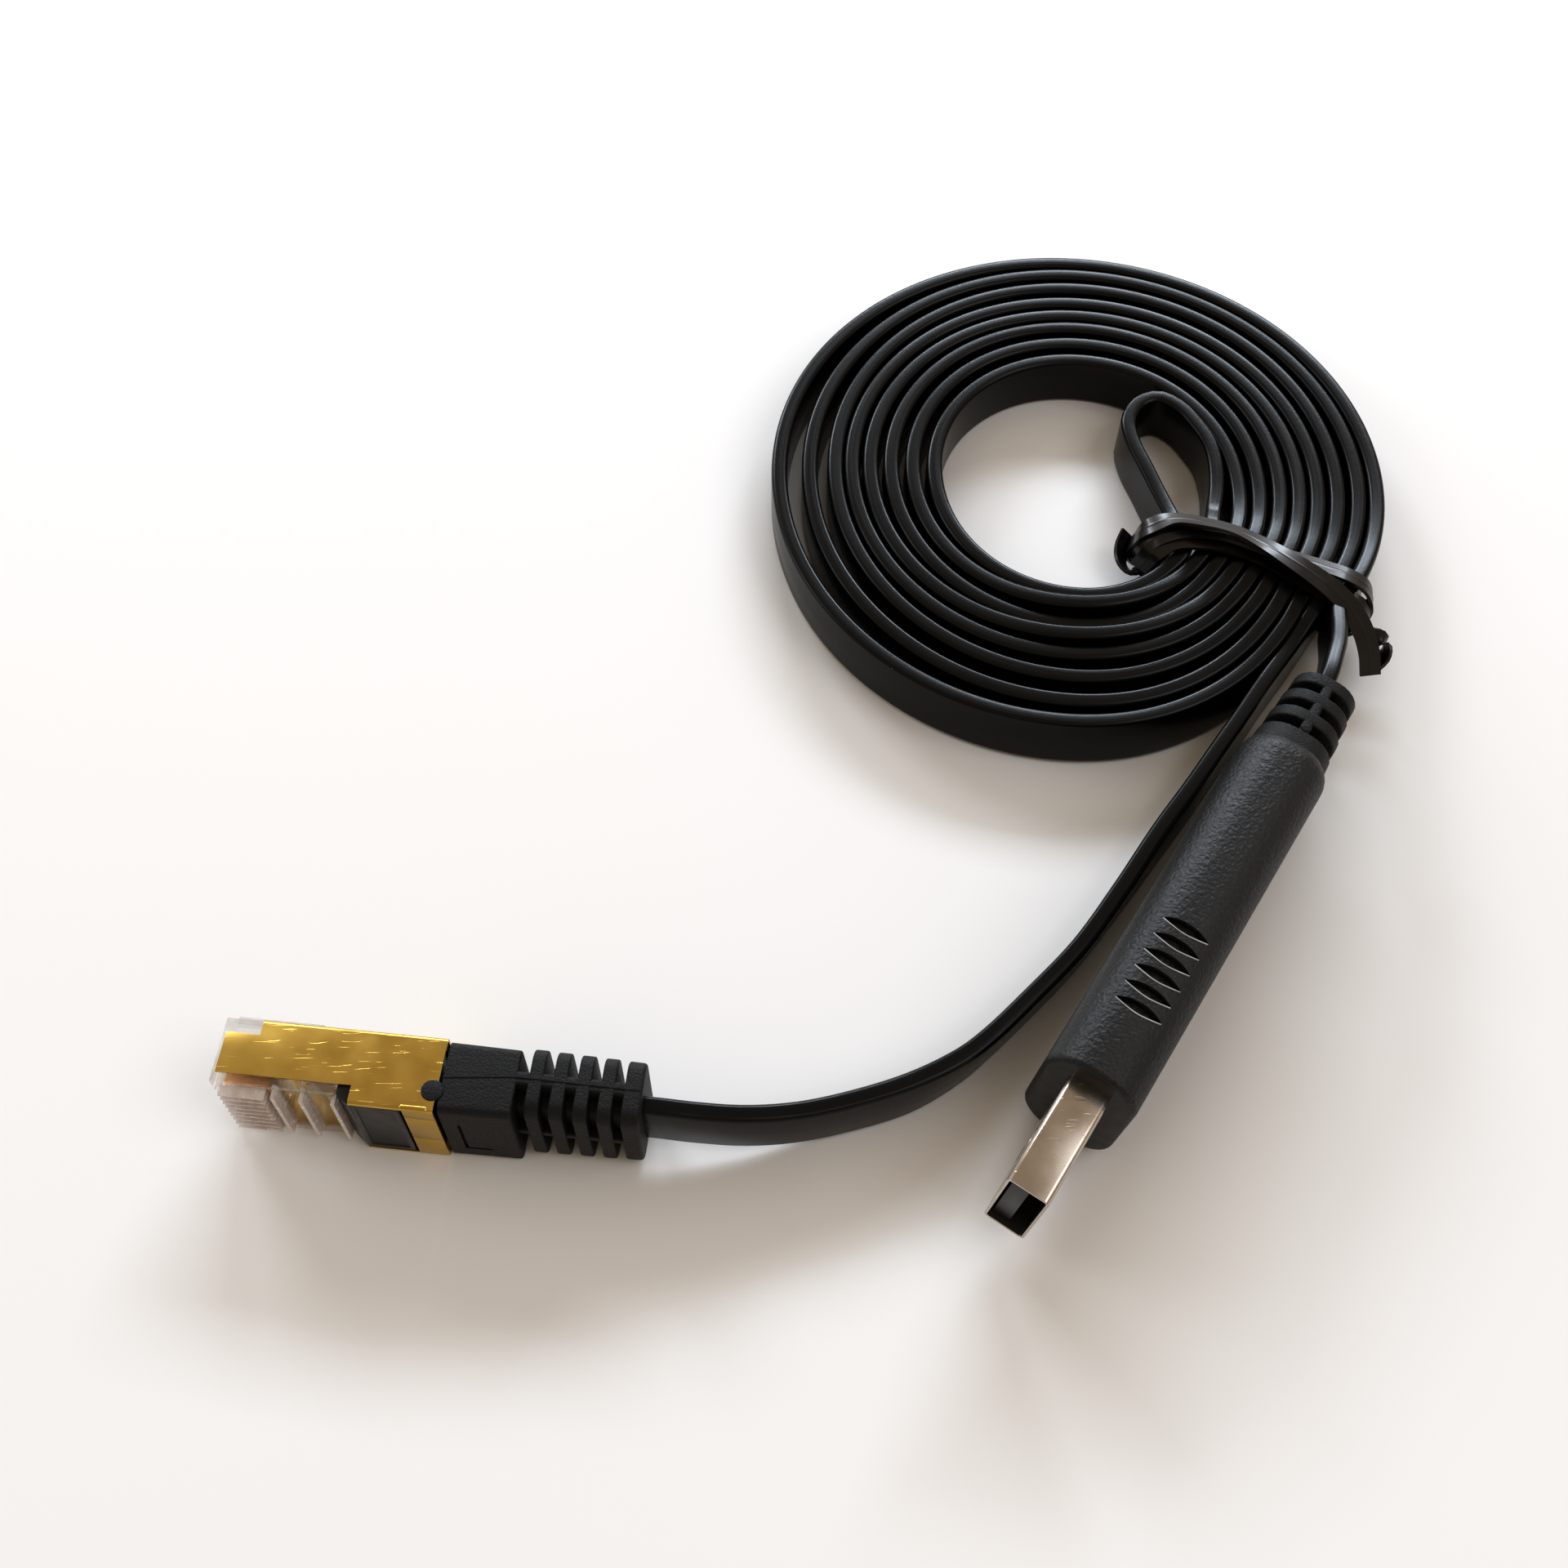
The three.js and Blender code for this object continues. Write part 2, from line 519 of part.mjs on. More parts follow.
function networkInsert() {
  const flush = HALF_DEPTH - INSERT_INSET;
  const rear = -2 * GAP;
  const body = upright(outline([
    [-SHIELD_STEP - INSERT_SLOPE, -PLUG_CONTACT_FACE], [-SHIELD_STEP, -flush], [-SHIELD_BAND - GAP, -flush],
    [-SHIELD_BAND - GAP, -INNER_BACK], [rear, -INNER_BACK], [rear, INNER_BACK],
    [-SHIELD_STEP - INSERT_SLOPE, INNER_BACK],
  ]), INNER_LOW, INNER_HIGH);
  const panel = block([-SHIELD_STEP + PANEL_FRAME, -SHIELD_BAND - GAP - PANEL_FRAME],
    [-BEYOND, -flush + PANEL_DEPTH], [INNER_LOW + PANEL_FRAME, INNER_HIGH - PANEL_FRAME]);
  return body.subtract(panel);
}

function networkContact(z) {
  return block([CONTACT_START, CONTACT_START + CONTACT_LENGTH], [CONTACT_TOP, CONTACT_TOP + CONTACT_HEIGHT],
    [z - CONTACT_THICKNESS / 2, z + CONTACT_THICKNESS / 2]);
}

function networkWire(z) {
  const wire = new THREE.CylinderGeometry(WIRE_DIAMETER / 2, WIRE_DIAMETER / 2, CLEAR_REAR - CAVITY_FRONT - GAP, 8);
  wire.rotateZ(Math.PI / 2);
  wire.translate((CAVITY_FRONT + CLEAR_REAR + GAP) / 2, CAVITY_BOTTOM + CAVITY_HEIGHT / 2, z);
  return solidOf(wire);
}

function networkBoot() {
  const front = alongX(roundedRectangle(BOOT_DEPTH, BOOT_HEIGHT, BOOT_CORNER, 3), GAP, BOOT_BLOCK_LENGTH,
    [BOOT_TAPER, 1]);
  const wide = BOOT_DEPTH * BOOT_TAPER;
  const tail = alongX(roundedRectangle(wide, BOOT_HEIGHT, BOOT_TAIL_CORNER, 4), BOOT_BLOCK_LENGTH - GAP,
    BOOT_LENGTH, [BOOT_END[0] / wide, BOOT_END[1] / BOOT_HEIGHT]);
  const places = Array.from({ length: BOOT_SLOTS }, (_, i) => BOOT_BLOCK_LENGTH + i * BOOT_PITCH);
  const core = [CABLE_THICKNESS + 2 * BOOT_CORE_WALL, CABLE_WIDTH + 2 * BOOT_CORE_WALL];
  const web = BOOT_END[0] / 2 - BOOT_WEB_INSET;
  const slots = bootSlots(places, BOOT_SLOT, BOOT_SPINE, core, BOOT_HEIGHT).map((slot) => slot.subtract(
    block([0, BOOT_LENGTH], [-web, web], [-BOOT_WEB_HEIGHT / 2, BOOT_WEB_HEIGHT / 2]),
  ));
  const recessDepth = [-BOOT_DEPTH, -BOOT_DEPTH / 2 + RECESS.depth];
  const recess = [
    block([RECESS.start, RECESS.start + RECESS.line], recessDepth, [-RECESS.reach, RECESS.reach - 1]),
    block([RECESS.start, RECESS.end], recessDepth, [-RECESS.reach, -RECESS.reach + RECESS.line]),
  ];
  const raised = geometryOf(cut(front.add(tail), [...slots, ...recess]));
  raised.translate(0, 0, PLUG_MIDDLE);
  const ear = upright(earOutline(0), PLUG_WIDTH - SHIELD_WALL, PLUG_WIDTH + EAR_PROUD);
  return solidOf(raised).add(ear);
}

// Finishes: colour, roughness and metalness
const FINISHES = {
  nickel: [0x9d8264, 0.3, 1],
  gold: [0xa87a28, 0.28, 1],
  brass: [0xc08a4a, 0.3, 1],
  blackHousing: [0x1b1b1c, 0.5, 0],
  blackPvc: [0x141415, 0.35, 0],
  blackPlastic: [0x0d0d0e, 0.45, 0],
  clear: [0xe8e6df, 0.08, 0],
  tie: [0x191413, 0.25, 0],
  wire: [0xc96a2a, 0.5, 0],
};
const WIRE_COLOURS = [0xe8e2d8, 0xd9772b, 0xe6e9e2, 0x2d5fae, 0xdfe6ee, 0x3f8f4a, 0xe9dfd4, 0x7a4a2c];

function finish(name, colour) {
  const [base, roughness, metalness] = FINISHES[name];
  return new THREE.MeshStandardMaterial({ name, color: colour ?? base, roughness, metalness });
}

function piece(name, solid, material) {
  const mesh = new THREE.Mesh(geometryOf(solid), material);
  mesh.name = name;
  return mesh;
}

// USB plug, with its lowest corner on the surface
const usbPlug = new THREE.Group();
usbPlug.rotation.set(USB_ROLL, 0, USB_YAW, "ZYX");
const usbAxisHeight = (HOUSING_HEIGHT / 2 - HOUSING_CORNER) * Math.cos(USB_ROLL)
  + (HOUSING_THICKNESS / 2 - HOUSING_CORNER) * Math.sin(USB_ROLL) + HOUSING_CORNER;
usbPlug.position.set(...USB_TIP, usbAxisHeight);
usbPlug.add(
  piece("usb_shell", usbShell(), finish("nickel")),
  piece("usb_tongue", usbTongue(), finish("blackPlastic")),
  ...USB_CONTACT_PLACES.map((z, i) => piece(`usb_contact_${i + 1}`, usbContact(z), finish("brass"))),
  piece("usb_housing", usbHousing(), finish("blackHousing")),
  piece("usb_boot", usbBoot(), finish("blackPvc")),
);

const networkPlug = new THREE.Group();
networkPlug.rotation.z = PLUG_YAW;
networkPlug.position.set(...PLUG_REAR, 0);
networkPlug.add(
  piece("network_plug_body", networkBody(), finish("clear")),
  piece("network_shield", networkShield(), finish("gold")),
  piece("network_insert", networkInsert(), finish("blackPlastic")),
  ...contactHeights().map((z, i) => piece(`network_contact_${i + 1}`, networkContact(z), finish("brass"))),
  ...contactHeights().map((z, i) => piece(`network_wire_${i + 1}`, networkWire(z),
    finish("wire", WIRE_COLOURS[i]))),
  piece("network_boot", networkBoot(), finish("blackPvc")),
);

// The cable meets each boot's end ring.
const networkExit = new THREE.Vector3(BOOT_LENGTH + GAP, 0, PLUG_MIDDLE).applyEuler(networkPlug.rotation)
  .add(networkPlug.position);
const usbExit = new THREE.Vector3(USB_END + GAP, 0, 0).applyEuler(usbPlug.rotation).add(usbPlug.position);
const cable = new THREE.Group();
cable.add(
  piece("cable_coil", coil(), finish("blackPvc")),
  piece("cable_hairpin", hairpin(), finish("blackPvc")),
  piece("cable_tail_network", solidOf(cableAlong([networkExit.toArray(), ...NETWORK_ROUTE])),
    finish("blackPvc")),
  piece("cable_tail_usb", solidOf(cableAlong([usbExit.toArray(), ...USB_ROUTE])), finish("blackPvc")),
  piece("twist_tie", placedTie(0), finish("tie")),
);

// The origin is under the middle of the two plugs' box.
const consoleCable = new THREE.Group();
consoleCable.add(usbPlug, networkPlug, cable);
consoleCable.updateMatrixWorld(true);
const plugs = new THREE.Box3().expandByObject(usbPlug, true).expandByObject(networkPlug, true);
const middle = plugs.getCenter(new THREE.Vector3());
consoleCable.position.set(-middle.x, -middle.y, -plugs.min.z);

export default consoleCable;
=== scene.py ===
"""Console cable: a flat cable wound up and tied, with a USB-A plug and an 8P8C plug on its ends.

Lengths are in millimetres and angles in degrees, until a mesh is laid in the frame in metres.
"""
import math

import bmesh
import bpy
from mathutils import Matrix, Vector


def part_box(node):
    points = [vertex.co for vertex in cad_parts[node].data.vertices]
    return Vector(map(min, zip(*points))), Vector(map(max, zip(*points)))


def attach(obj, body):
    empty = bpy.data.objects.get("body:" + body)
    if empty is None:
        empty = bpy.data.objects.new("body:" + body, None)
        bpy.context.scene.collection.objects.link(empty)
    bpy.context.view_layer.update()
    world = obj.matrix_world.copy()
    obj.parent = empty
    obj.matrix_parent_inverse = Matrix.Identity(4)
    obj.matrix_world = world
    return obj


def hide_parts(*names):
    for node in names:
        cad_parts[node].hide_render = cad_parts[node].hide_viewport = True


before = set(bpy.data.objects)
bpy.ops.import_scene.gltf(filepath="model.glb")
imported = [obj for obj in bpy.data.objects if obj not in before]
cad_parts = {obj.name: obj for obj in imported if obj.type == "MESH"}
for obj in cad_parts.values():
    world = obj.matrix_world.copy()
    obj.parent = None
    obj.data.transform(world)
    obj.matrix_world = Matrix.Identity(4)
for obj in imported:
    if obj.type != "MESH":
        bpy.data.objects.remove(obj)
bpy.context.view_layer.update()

MM = 0.001
IN_METRES = Matrix.Diagonal((MM, MM, MM, 1))
BODY = "root"

coil_low, coil_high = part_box("cable_coil")
COIL = (coil_low + coil_high) / 2 / MM
COIL.z = 0
ON_COIL = Matrix.Translation(COIL)

# Each plug's own frame: X runs towards the cable.
USB_PLUG = (Matrix.Translation(COIL + Vector((-14.3, -95.9, 8.811)))
            @ Matrix.Rotation(math.radians(57), 4, "Z") @ Matrix.Rotation(math.radians(6.4), 4, "X"))
NETWORK_PLUG = (Matrix.Translation(COIL + Vector((-69.8, -83.33, 0)))
                @ Matrix.Rotation(math.radians(-6.2), 4, "Z"))


# Camera, as in the photograph

LENS = 41.25
SENSOR = 36
LOOKS_DOWN = 57.55
CAMERA_FROM_COIL = Vector((-36.3, -153.4, 174.7))


def add_camera():
    data = bpy.data.cameras.new("photo_camera")
    data.lens = LENS
    data.sensor_width = SENSOR
    data.clip_start = 0.01
    camera = bpy.data.objects.new("photo_camera", data)
    bpy.context.scene.collection.objects.link(camera)
    camera.location = (COIL + CAMERA_FROM_COIL) * MM
    camera.rotation_euler = (math.radians(90 - LOOKS_DOWN), 0, 0)
    bpy.context.scene.camera = camera


# Materials

def colour(code):
    """A linear colour from an sRGB hex code."""
    parts = [int(code[i:i + 2], 16) / 255 for i in (1, 3, 5)]
    return (*(p / 12.92 if p <= 0.04045 else ((p + 0.055) / 1.055) ** 2.4 for p in parts), 1)


def add_node(tree, kind, inputs=None, **settings):
    """Adds a node. Its inputs, by name or number, take a value or the output that feeds them."""
    node = tree.nodes.new(kind)
    for name, value in settings.items():
        setattr(node, name, value)
    for name, value in (inputs or {}).items():
        if isinstance(value, bpy.types.NodeSocket):
            tree.links.new(value, node.inputs[name])
        else:
            node.inputs[name].default_value = value
    return node


def new_material(name, **sockets):
    material = bpy.data.materials.new(name)
    material.use_nodes = True
    tree = material.node_tree
    shader = tree.nodes["Principled BSDF"]
    for socket, value in sockets.items():
        shader.inputs[socket.replace("_", " ")].default_value = value
    return material, tree, shader


def grain_noise(tree, coordinates, size, detail=2.0, roughness=0.5):
    """Noise whose spots are about `size` millimetres wide."""
    return add_node(tree, "ShaderNodeTexNoise", {
        "Vector": coordinates, "Scale": 1 / (size * MM), "Detail": detail, "Roughness": roughness,
    }).outputs[0]


def spread(tree, value, low, high, from_low=0.3, from_high=0.7):
    return add_node(tree, "ShaderNodeMapRange", {
        0: value, 1: from_low, 2: from_high, 3: low, 4: high,
    }).outputs[0]


def tint(tree, factor, first, second):
    return add_node(tree, "ShaderNodeMix", {
        0: factor, 6: colour(first), 7: colour(second),
    }, data_type="RGBA").outputs[2]


def bump(tree, height, depth, normal=None):
    """Bump of `depth` millimetres."""
    inputs = {"Height": height, "Strength": 1.0, "Distance": depth * MM}
    if normal is not None:
        inputs["Normal"] = normal
    return add_node(tree, "ShaderNodeBump", inputs).outputs[0]


def object_coordinates(tree, stretch=(1, 1, 1), turn=0):
    source = add_node(tree, "ShaderNodeTexCoord").outputs["Object"]
    return add_node(tree, "ShaderNodeMapping", {
        "Vector": source, "Rotation": (0, 0, math.radians(turn)), "Scale": stretch,
    }).outputs[0]


def satin_pvc():
    """Extruded soft PVC: black and satin, with faint lines along it and a broad soft sheen."""
    material, tree, shader = new_material("satin_black_pvc_jacket", IOR=1.5, Specular_IOR_Level=0.28)
    along = add_node(tree, "ShaderNodeUVMap", uv_map="along").outputs[0]
    lines = add_node(tree, "ShaderNodeTexNoise", {
        "Vector": add_node(tree, "ShaderNodeMapping", {"Vector": along, "Scale": (0.02, 2.2, 1)}).outputs[0],
        "Scale": 1.0, "Detail": 3.0,
    }).outputs[0]
    place = object_coordinates(tree)
    cloud = grain_noise(tree, place, 9)
    skin = grain_noise(tree, place, 0.5)
    tree.links.new(tint(tree, spread(tree, cloud, 0, 1), "#040405", "#070708"), shader.inputs["Base Color"])
    tree.links.new(spread(tree, lines, 0.22, 0.31), shader.inputs["Roughness"])
    fine = bump(tree, skin, 0.006)
    tree.links.new(bump(tree, lines, 0.01, fine), shader.inputs["Normal"])
    return material


def leathery_abs():
    """Moulded ABS with a fine leather-like spark texture, so its gloss breaks up into small spots."""
    material, tree, shader = new_material("leathery_black_abs", IOR=1.53, Specular_IOR_Level=0.5)
    place = object_coordinates(tree)
    cells = add_node(tree, "ShaderNodeTexVoronoi", {"Vector": place, "Scale": 1 / (0.42 * MM)},
                     feature="SMOOTH_F1").outputs[0]
    grain = grain_noise(tree, place, 0.3, 3)
    tree.links.new(tint(tree, spread(tree, grain, 0, 1), "#060607", "#0d0d0e"), shader.inputs["Base Color"])
    tree.links.new(spread(tree, grain, 0.4, 0.56), shader.inputs["Roughness"])
    tree.links.new(bump(tree, cells, 0.07, bump(tree, grain, 0.08)), shader.inputs["Normal"])
    return material


def sandy_pvc():
    """Soft PVC moulded in a sand-blasted tool: matt, with grains a quarter of a millimetre wide."""
    material, tree, shader = new_material("sandy_black_pvc_boot", IOR=1.53, Specular_IOR_Level=0.34)
    place = object_coordinates(tree)
    grain = grain_noise(tree, place, 0.24, 3, 0.6)
    tree.links.new(tint(tree, spread(tree, grain, 0, 1), "#060606", "#121213"), shader.inputs["Base Color"])
    tree.links.new(spread(tree, grain, 0.45, 0.62), shader.inputs["Roughness"])
    tree.links.new(bump(tree, grain, 0.11), shader.inputs["Normal"])
    return material


def smooth_plastic(name, dark, light, roughness):
    """Moulded plastic from a plain tool, with a faint cloudiness."""
    material, tree, shader = new_material(name, IOR=1.5)
    place = object_coordinates(tree)
    cloud = grain_noise(tree, place, 1.5)
    tree.links.new(tint(tree, spread(tree, cloud, 0, 1), dark, light), shader.inputs["Base Color"])
    tree.links.new(spread(tree, cloud, roughness - 0.05, roughness + 0.05), shader.inputs["Roughness"])
    tree.links.new(bump(tree, grain_noise(tree, place, 0.3), 0.006), shader.inputs["Normal"])
    return material


def plated_metal(name, dark, light, roughness, turn, scratch=0.012):
    """Bright plating on smooth sheet: a faint cloudiness and a few fine scratches that catch the light."""
    material, tree, shader = new_material(name, Metallic=1.0)
    cloud = grain_noise(tree, object_coordinates(tree), 3.5, 3)
    marks = [add_node(tree, "ShaderNodeTexNoise", {
        "Vector": object_coordinates(tree, (0.08, 1, 1), turn + across),
        "Scale": 1 / (0.3 * MM), "Detail": 1.0,
    }).outputs[0] for across in (38, -27)]
    first, second = (spread(tree, mark, 0, 1, 0.68, 0.73) for mark in marks)
    worn = add_node(tree, "ShaderNodeMath", {0: first, 1: second}, operation="MAXIMUM").outputs[0]
    tree.links.new(tint(tree, spread(tree, cloud, 0, 1), dark, light), shader.inputs["Base Color"])
    tree.links.new(spread(tree, cloud, roughness - 0.03, roughness + 0.04), shader.inputs["Roughness"])
    tree.links.new(bump(tree, worn, -scratch, bump(tree, cloud, 0.01)), shader.inputs["Normal"])
    return material


def clear_polycarbonate():
    """Clear moulded polycarbonate, with the faint flow waves of a small mould."""
    material, tree, shader = new_material(
        "clear_polycarbonate", Base_Color=colour("#f3efea"), Roughness=0.03, IOR=1.585,
        Transmission_Weight=0.85, Alpha=0.42)
    cloud = grain_noise(tree, object_coordinates(tree), 1.2)
    tree.links.new(spread(tree, cloud, 0.01, 0.04), shader.inputs["Roughness"])
    return material


def frosted_polycarbonate():
    """The same plastic where the thin walls between the slots scatter the light."""
    material, tree, shader = new_material("frosted_polycarbonate", IOR=1.585, Transmission_Weight=0.35)
    cloud = grain_noise(tree, object_coordinates(tree), 0.8)
    tree.links.new(tint(tree, spread(tree, cloud, 0, 1), "#f3e6e0", "#fffaf8"), shader.inputs["Base Color"])
    tree.links.new(spread(tree, cloud, 0.18, 0.3), shader.inputs["Roughness"])
    return material


def tie_plastic():
    """Glossy PVC film over a wire, faintly wrinkled where it was bent, with a brownish shine."""
    material, tree, shader = new_material(
        "glossy_tie_pvc", IOR=1.5, Coat_Weight=0.3, Coat_Roughness=0.15, Coat_Tint=colour("#f0e0d4"))
    folds = grain_noise(tree, object_coordinates(tree), 2.2)
    tree.links.new(tint(tree, spread(tree, folds, 0, 1), "#080606", "#100c0b"), shader.inputs["Base Color"])
    tree.links.new(spread(tree, folds, 0.3, 0.42), shader.inputs["Roughness"])
    tree.links.new(bump(tree, folds, 0.02), shader.inputs["Normal"])
    return material


def wire_insulation(name, code):
    """Glossy extruded insulation on one wire."""
    material, tree, shader = new_material(name, IOR=1.5, Roughness=0.35)
    cloud = grain_noise(tree, object_coordinates(tree), 0.8)
    shade = "#%02x%02x%02x" % tuple(int(int(code[i:i + 2], 16) * 0.86) for i in (1, 3, 5))
    tree.links.new(tint(tree, spread(tree, cloud, 0, 1), shade, code), shader.inputs["Base Color"])
    return material


PVC = satin_pvc()
HOUSING = leathery_abs()
BOOT = sandy_pvc()
FRONT_FACE = smooth_plastic("smooth_black_abs", "#050505", "#090909", 0.4)
# Light grey for the thin lines along the grip grooves: a painted highlight.
GROOVE_HIGHLIGHT = smooth_plastic("painted_groove_highlight", "#a2a4a8", "#ccced2", 0.35)
INSERT = smooth_plastic("black_nylon", "#0b0b0c", "#151516", 0.34)
NICKEL = plated_metal("nickel_plated_steel", "#bdb3a8", "#cac1b7", 0.24, -57, 0.006)
# Near-black for the inside walls of the USB shell: painted shade, where the inside of the shell lies in
# shadow.
SHELL_INSIDE_SHADE = smooth_plastic("painted_shade_inside_shell", "#0e0d0c", "#1a1816", 0.5)
GOLD = plated_metal("gold_plated_brass", "#c5a554", "#d1b160", 0.32, 6.2)
CONTACT = plated_metal("gold_flashed_bronze", "#d9a670", "#e9bb88", 0.25, 6.2)
CLEAR = clear_polycarbonate()
FROSTED = frosted_polycarbonate()
TIE = tie_plastic()
WIRES = {
    "wire_white": wire_insulation("white_insulation", "#efe9df"),
    "wire_orange": wire_insulation("orange_insulation", "#e07b28"),
    "wire_blue": wire_insulation("blue_insulation", "#2f63b4"),
    "wire_green": wire_insulation("green_insulation", "#3f944d"),
    "wire_brown": wire_insulation("brown_insulation", "#7a4a2c"),
}


# Making meshes

SHARP_ANGLE = 35
DISC_SIDES = 40


def rounded_rectangle(width, height, radius, steps=6):
    """Points round a rectangle with rounded corners, anticlockwise."""
    radius = min(radius, width / 2 - 1e-3, height / 2 - 1e-3)
    points = []
    for x, y, start in ((1, -1, -90), (1, 1, 0), (-1, 1, 90), (-1, -1, 180)):
        for i in range(steps + 1):
            turn = math.radians(start + 90 * i / steps)
            points.append((x * (width / 2 - radius) + radius * math.cos(turn),
                           y * (height / 2 - radius) + radius * math.sin(turn)))
    return points


def skin(rings, capped=True, looped=False):
    """Points and faces over rings that have the same number of points."""
    count = len(rings[0])
    points = [point for ring in rings for point in ring]
    faces = []
    for i in range(len(rings) if looped else len(rings) - 1):
        first, second = i * count, (i + 1) % len(rings) * count
        for j in range(count):
            k = (j + 1) % count
            faces.append((first + j, first + k, second + k, second + j))
    if capped and not looped:
        faces.append(tuple(reversed(range(count))))
        faces.append(tuple(range(len(points) - count, len(points))))
    return points, faces


def make_mesh(name, points, faces, material):
    mesh = bpy.data.meshes.new(name)
    mesh.from_pydata([tuple(point) for point in points], [], faces)
    solid = bmesh.new()
    solid.from_mesh(mesh)
    bmesh.ops.remove_doubles(solid, verts=solid.verts, dist=1e-5)
    bmesh.ops.recalc_face_normals(solid, faces=solid.faces)
    solid.to_mesh(mesh)
    solid.free()
    mesh.materials.append(material)
    piece = bpy.data.objects.new(name, mesh)
    bpy.context.scene.collection.objects.link(piece)
    return piece


def settle(piece):
    """Makes what the modifiers give the piece's own mesh."""
    graph = bpy.context.evaluated_depsgraph_get()
    mesh = bpy.data.meshes.new_from_object(piece.evaluated_get(graph))
    old = piece.data
    piece.modifiers.clear()
    piece.data = mesh
    bpy.data.meshes.remove(old)
    return piece


def remove(piece):
    mesh = piece.data
    bpy.data.objects.remove(piece)
    bpy.data.meshes.remove(mesh)


def carve(piece, cutters):
    for cutter in cutters:
        modifier = piece.modifiers.new("carve", "BOOLEAN")
        modifier.object = cutter
        modifier.operation = "DIFFERENCE"
        modifier.solver = "EXACT"
    settle(piece)
    for cutter in cutters:
        remove(cutter)
    return piece


def soften(piece, width):
    """Rounds the sharp edges."""
    solid = bmesh.new()
    solid.from_mesh(piece.data)
    bmesh.ops.remove_doubles(solid, verts=solid.verts, dist=1e-4)
    bmesh.ops.dissolve_limit(solid, angle_limit=math.radians(1), verts=solid.verts, edges=solid.edges)
    solid.to_mesh(piece.data)
    solid.free()
    modifier = piece.modifiers.new("soften", "BEVEL")
    modifier.width = width
    modifier.segments = 2
    modifier.limit_method = "ANGLE"
    modifier.angle_limit = math.radians(SHARP_ANGLE)
    return settle(piece)


def shade(piece, angle=SHARP_ANGLE):
    mesh = piece.data
    mesh.polygons.foreach_set("use_smooth", [True] * len(mesh.polygons))
    mesh.set_sharp_from_angle(angle=math.radians(angle))
    return piece


def join(name, pieces):
    """One piece from several, with their materials."""
    materials = []
    solid = bmesh.new()
    for piece in pieces:
        first = len(solid.faces)
        solid.from_mesh(piece.data)
        solid.faces.ensure_lookup_table()
        places = []
        for material in piece.data.materials:
            if material not in materials:
                materials.append(material)
            places.append(materials.index(material))
        for face in solid.faces[first:]:
            face.material_index = places[face.material_index]
    mesh = bpy.data.meshes.new(name)
    solid.to_mesh(mesh)
    solid.free()
    for material in materials:
        mesh.materials.append(material)
    whole = bpy.data.objects.new(name, mesh)
    bpy.context.scene.collection.objects.link(whole)
    for piece in pieces:
        remove(piece)
    return whole


def lay(piece, place, slot, *nodes):
    """Moves the mesh from its own frame in millimetres to the model's, attaches it to the body and hides the
    CAD parts it replaces; `slot` is not used.
    """
    piece.data.transform(IN_METRES @ place)
    piece.data.update()
    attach(piece, BODY)
    if nodes:
        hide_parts(*nodes)
    return piece


def block(x, y, z, material):
    points = [(a, b, c) for a in x for b in y for c in z]
    faces = [(0, 1, 3, 2), (4, 6, 7, 5), (0, 4, 5, 1), (2, 3, 7, 6), (0, 2, 6, 4), (1, 5, 7, 3)]
    return make_mesh("block", points, faces, material)


def bar(name, x, size, corner, rounds, material, end_size=None, steps=6, round_steps=5):
    """A bar along X whose section is a rounded rectangle, with rounded ends and an even taper."""
    end_size = end_size or size
    stations = []
    for i in range(round_steps + 1):
        turn = math.radians(90 * i / round_steps)
        stations.append((x[0] + rounds[0] * (1 - math.cos(turn)), rounds[0] * (1 - math.sin(turn))))
    for i in range(round_steps, -1, -1):
        turn = math.radians(90 * i / round_steps)
        stations.append((x[1] - rounds[1] * (1 - math.cos(turn)), rounds[1] * (1 - math.sin(turn))))
    rings = []
    for station, inset in stations:
        part = (station - x[0]) / (x[1] - x[0])
        width, height = (a + (b - a) * part - 2 * inset for a, b in zip(size, end_size))
        ring = rounded_rectangle(width, height, max(corner - inset, 0.15), steps)
        rings.append([(station, y, z) for y, z in ring])
    return make_mesh(name, *skin(rings), material)


def disc(name, centre, radius, z, edge, material):
    """An upright round plate with a rounded top edge."""
    levels = [(z[0], radius), (z[1] - edge, radius), (z[1] - edge * 0.3, radius - edge * 0.3),
              (z[1], radius - edge)]
    turns = [2 * math.pi * i / DISC_SIDES for i in range(DISC_SIDES)]
    rings = [[(centre[0] + r * math.cos(turn), centre[1] + r * math.sin(turn), level) for turn in turns]
             for level, r in levels]
    return make_mesh(name, *skin(rings), material)


# Geometry nodes: a row of copies along X, which can taper

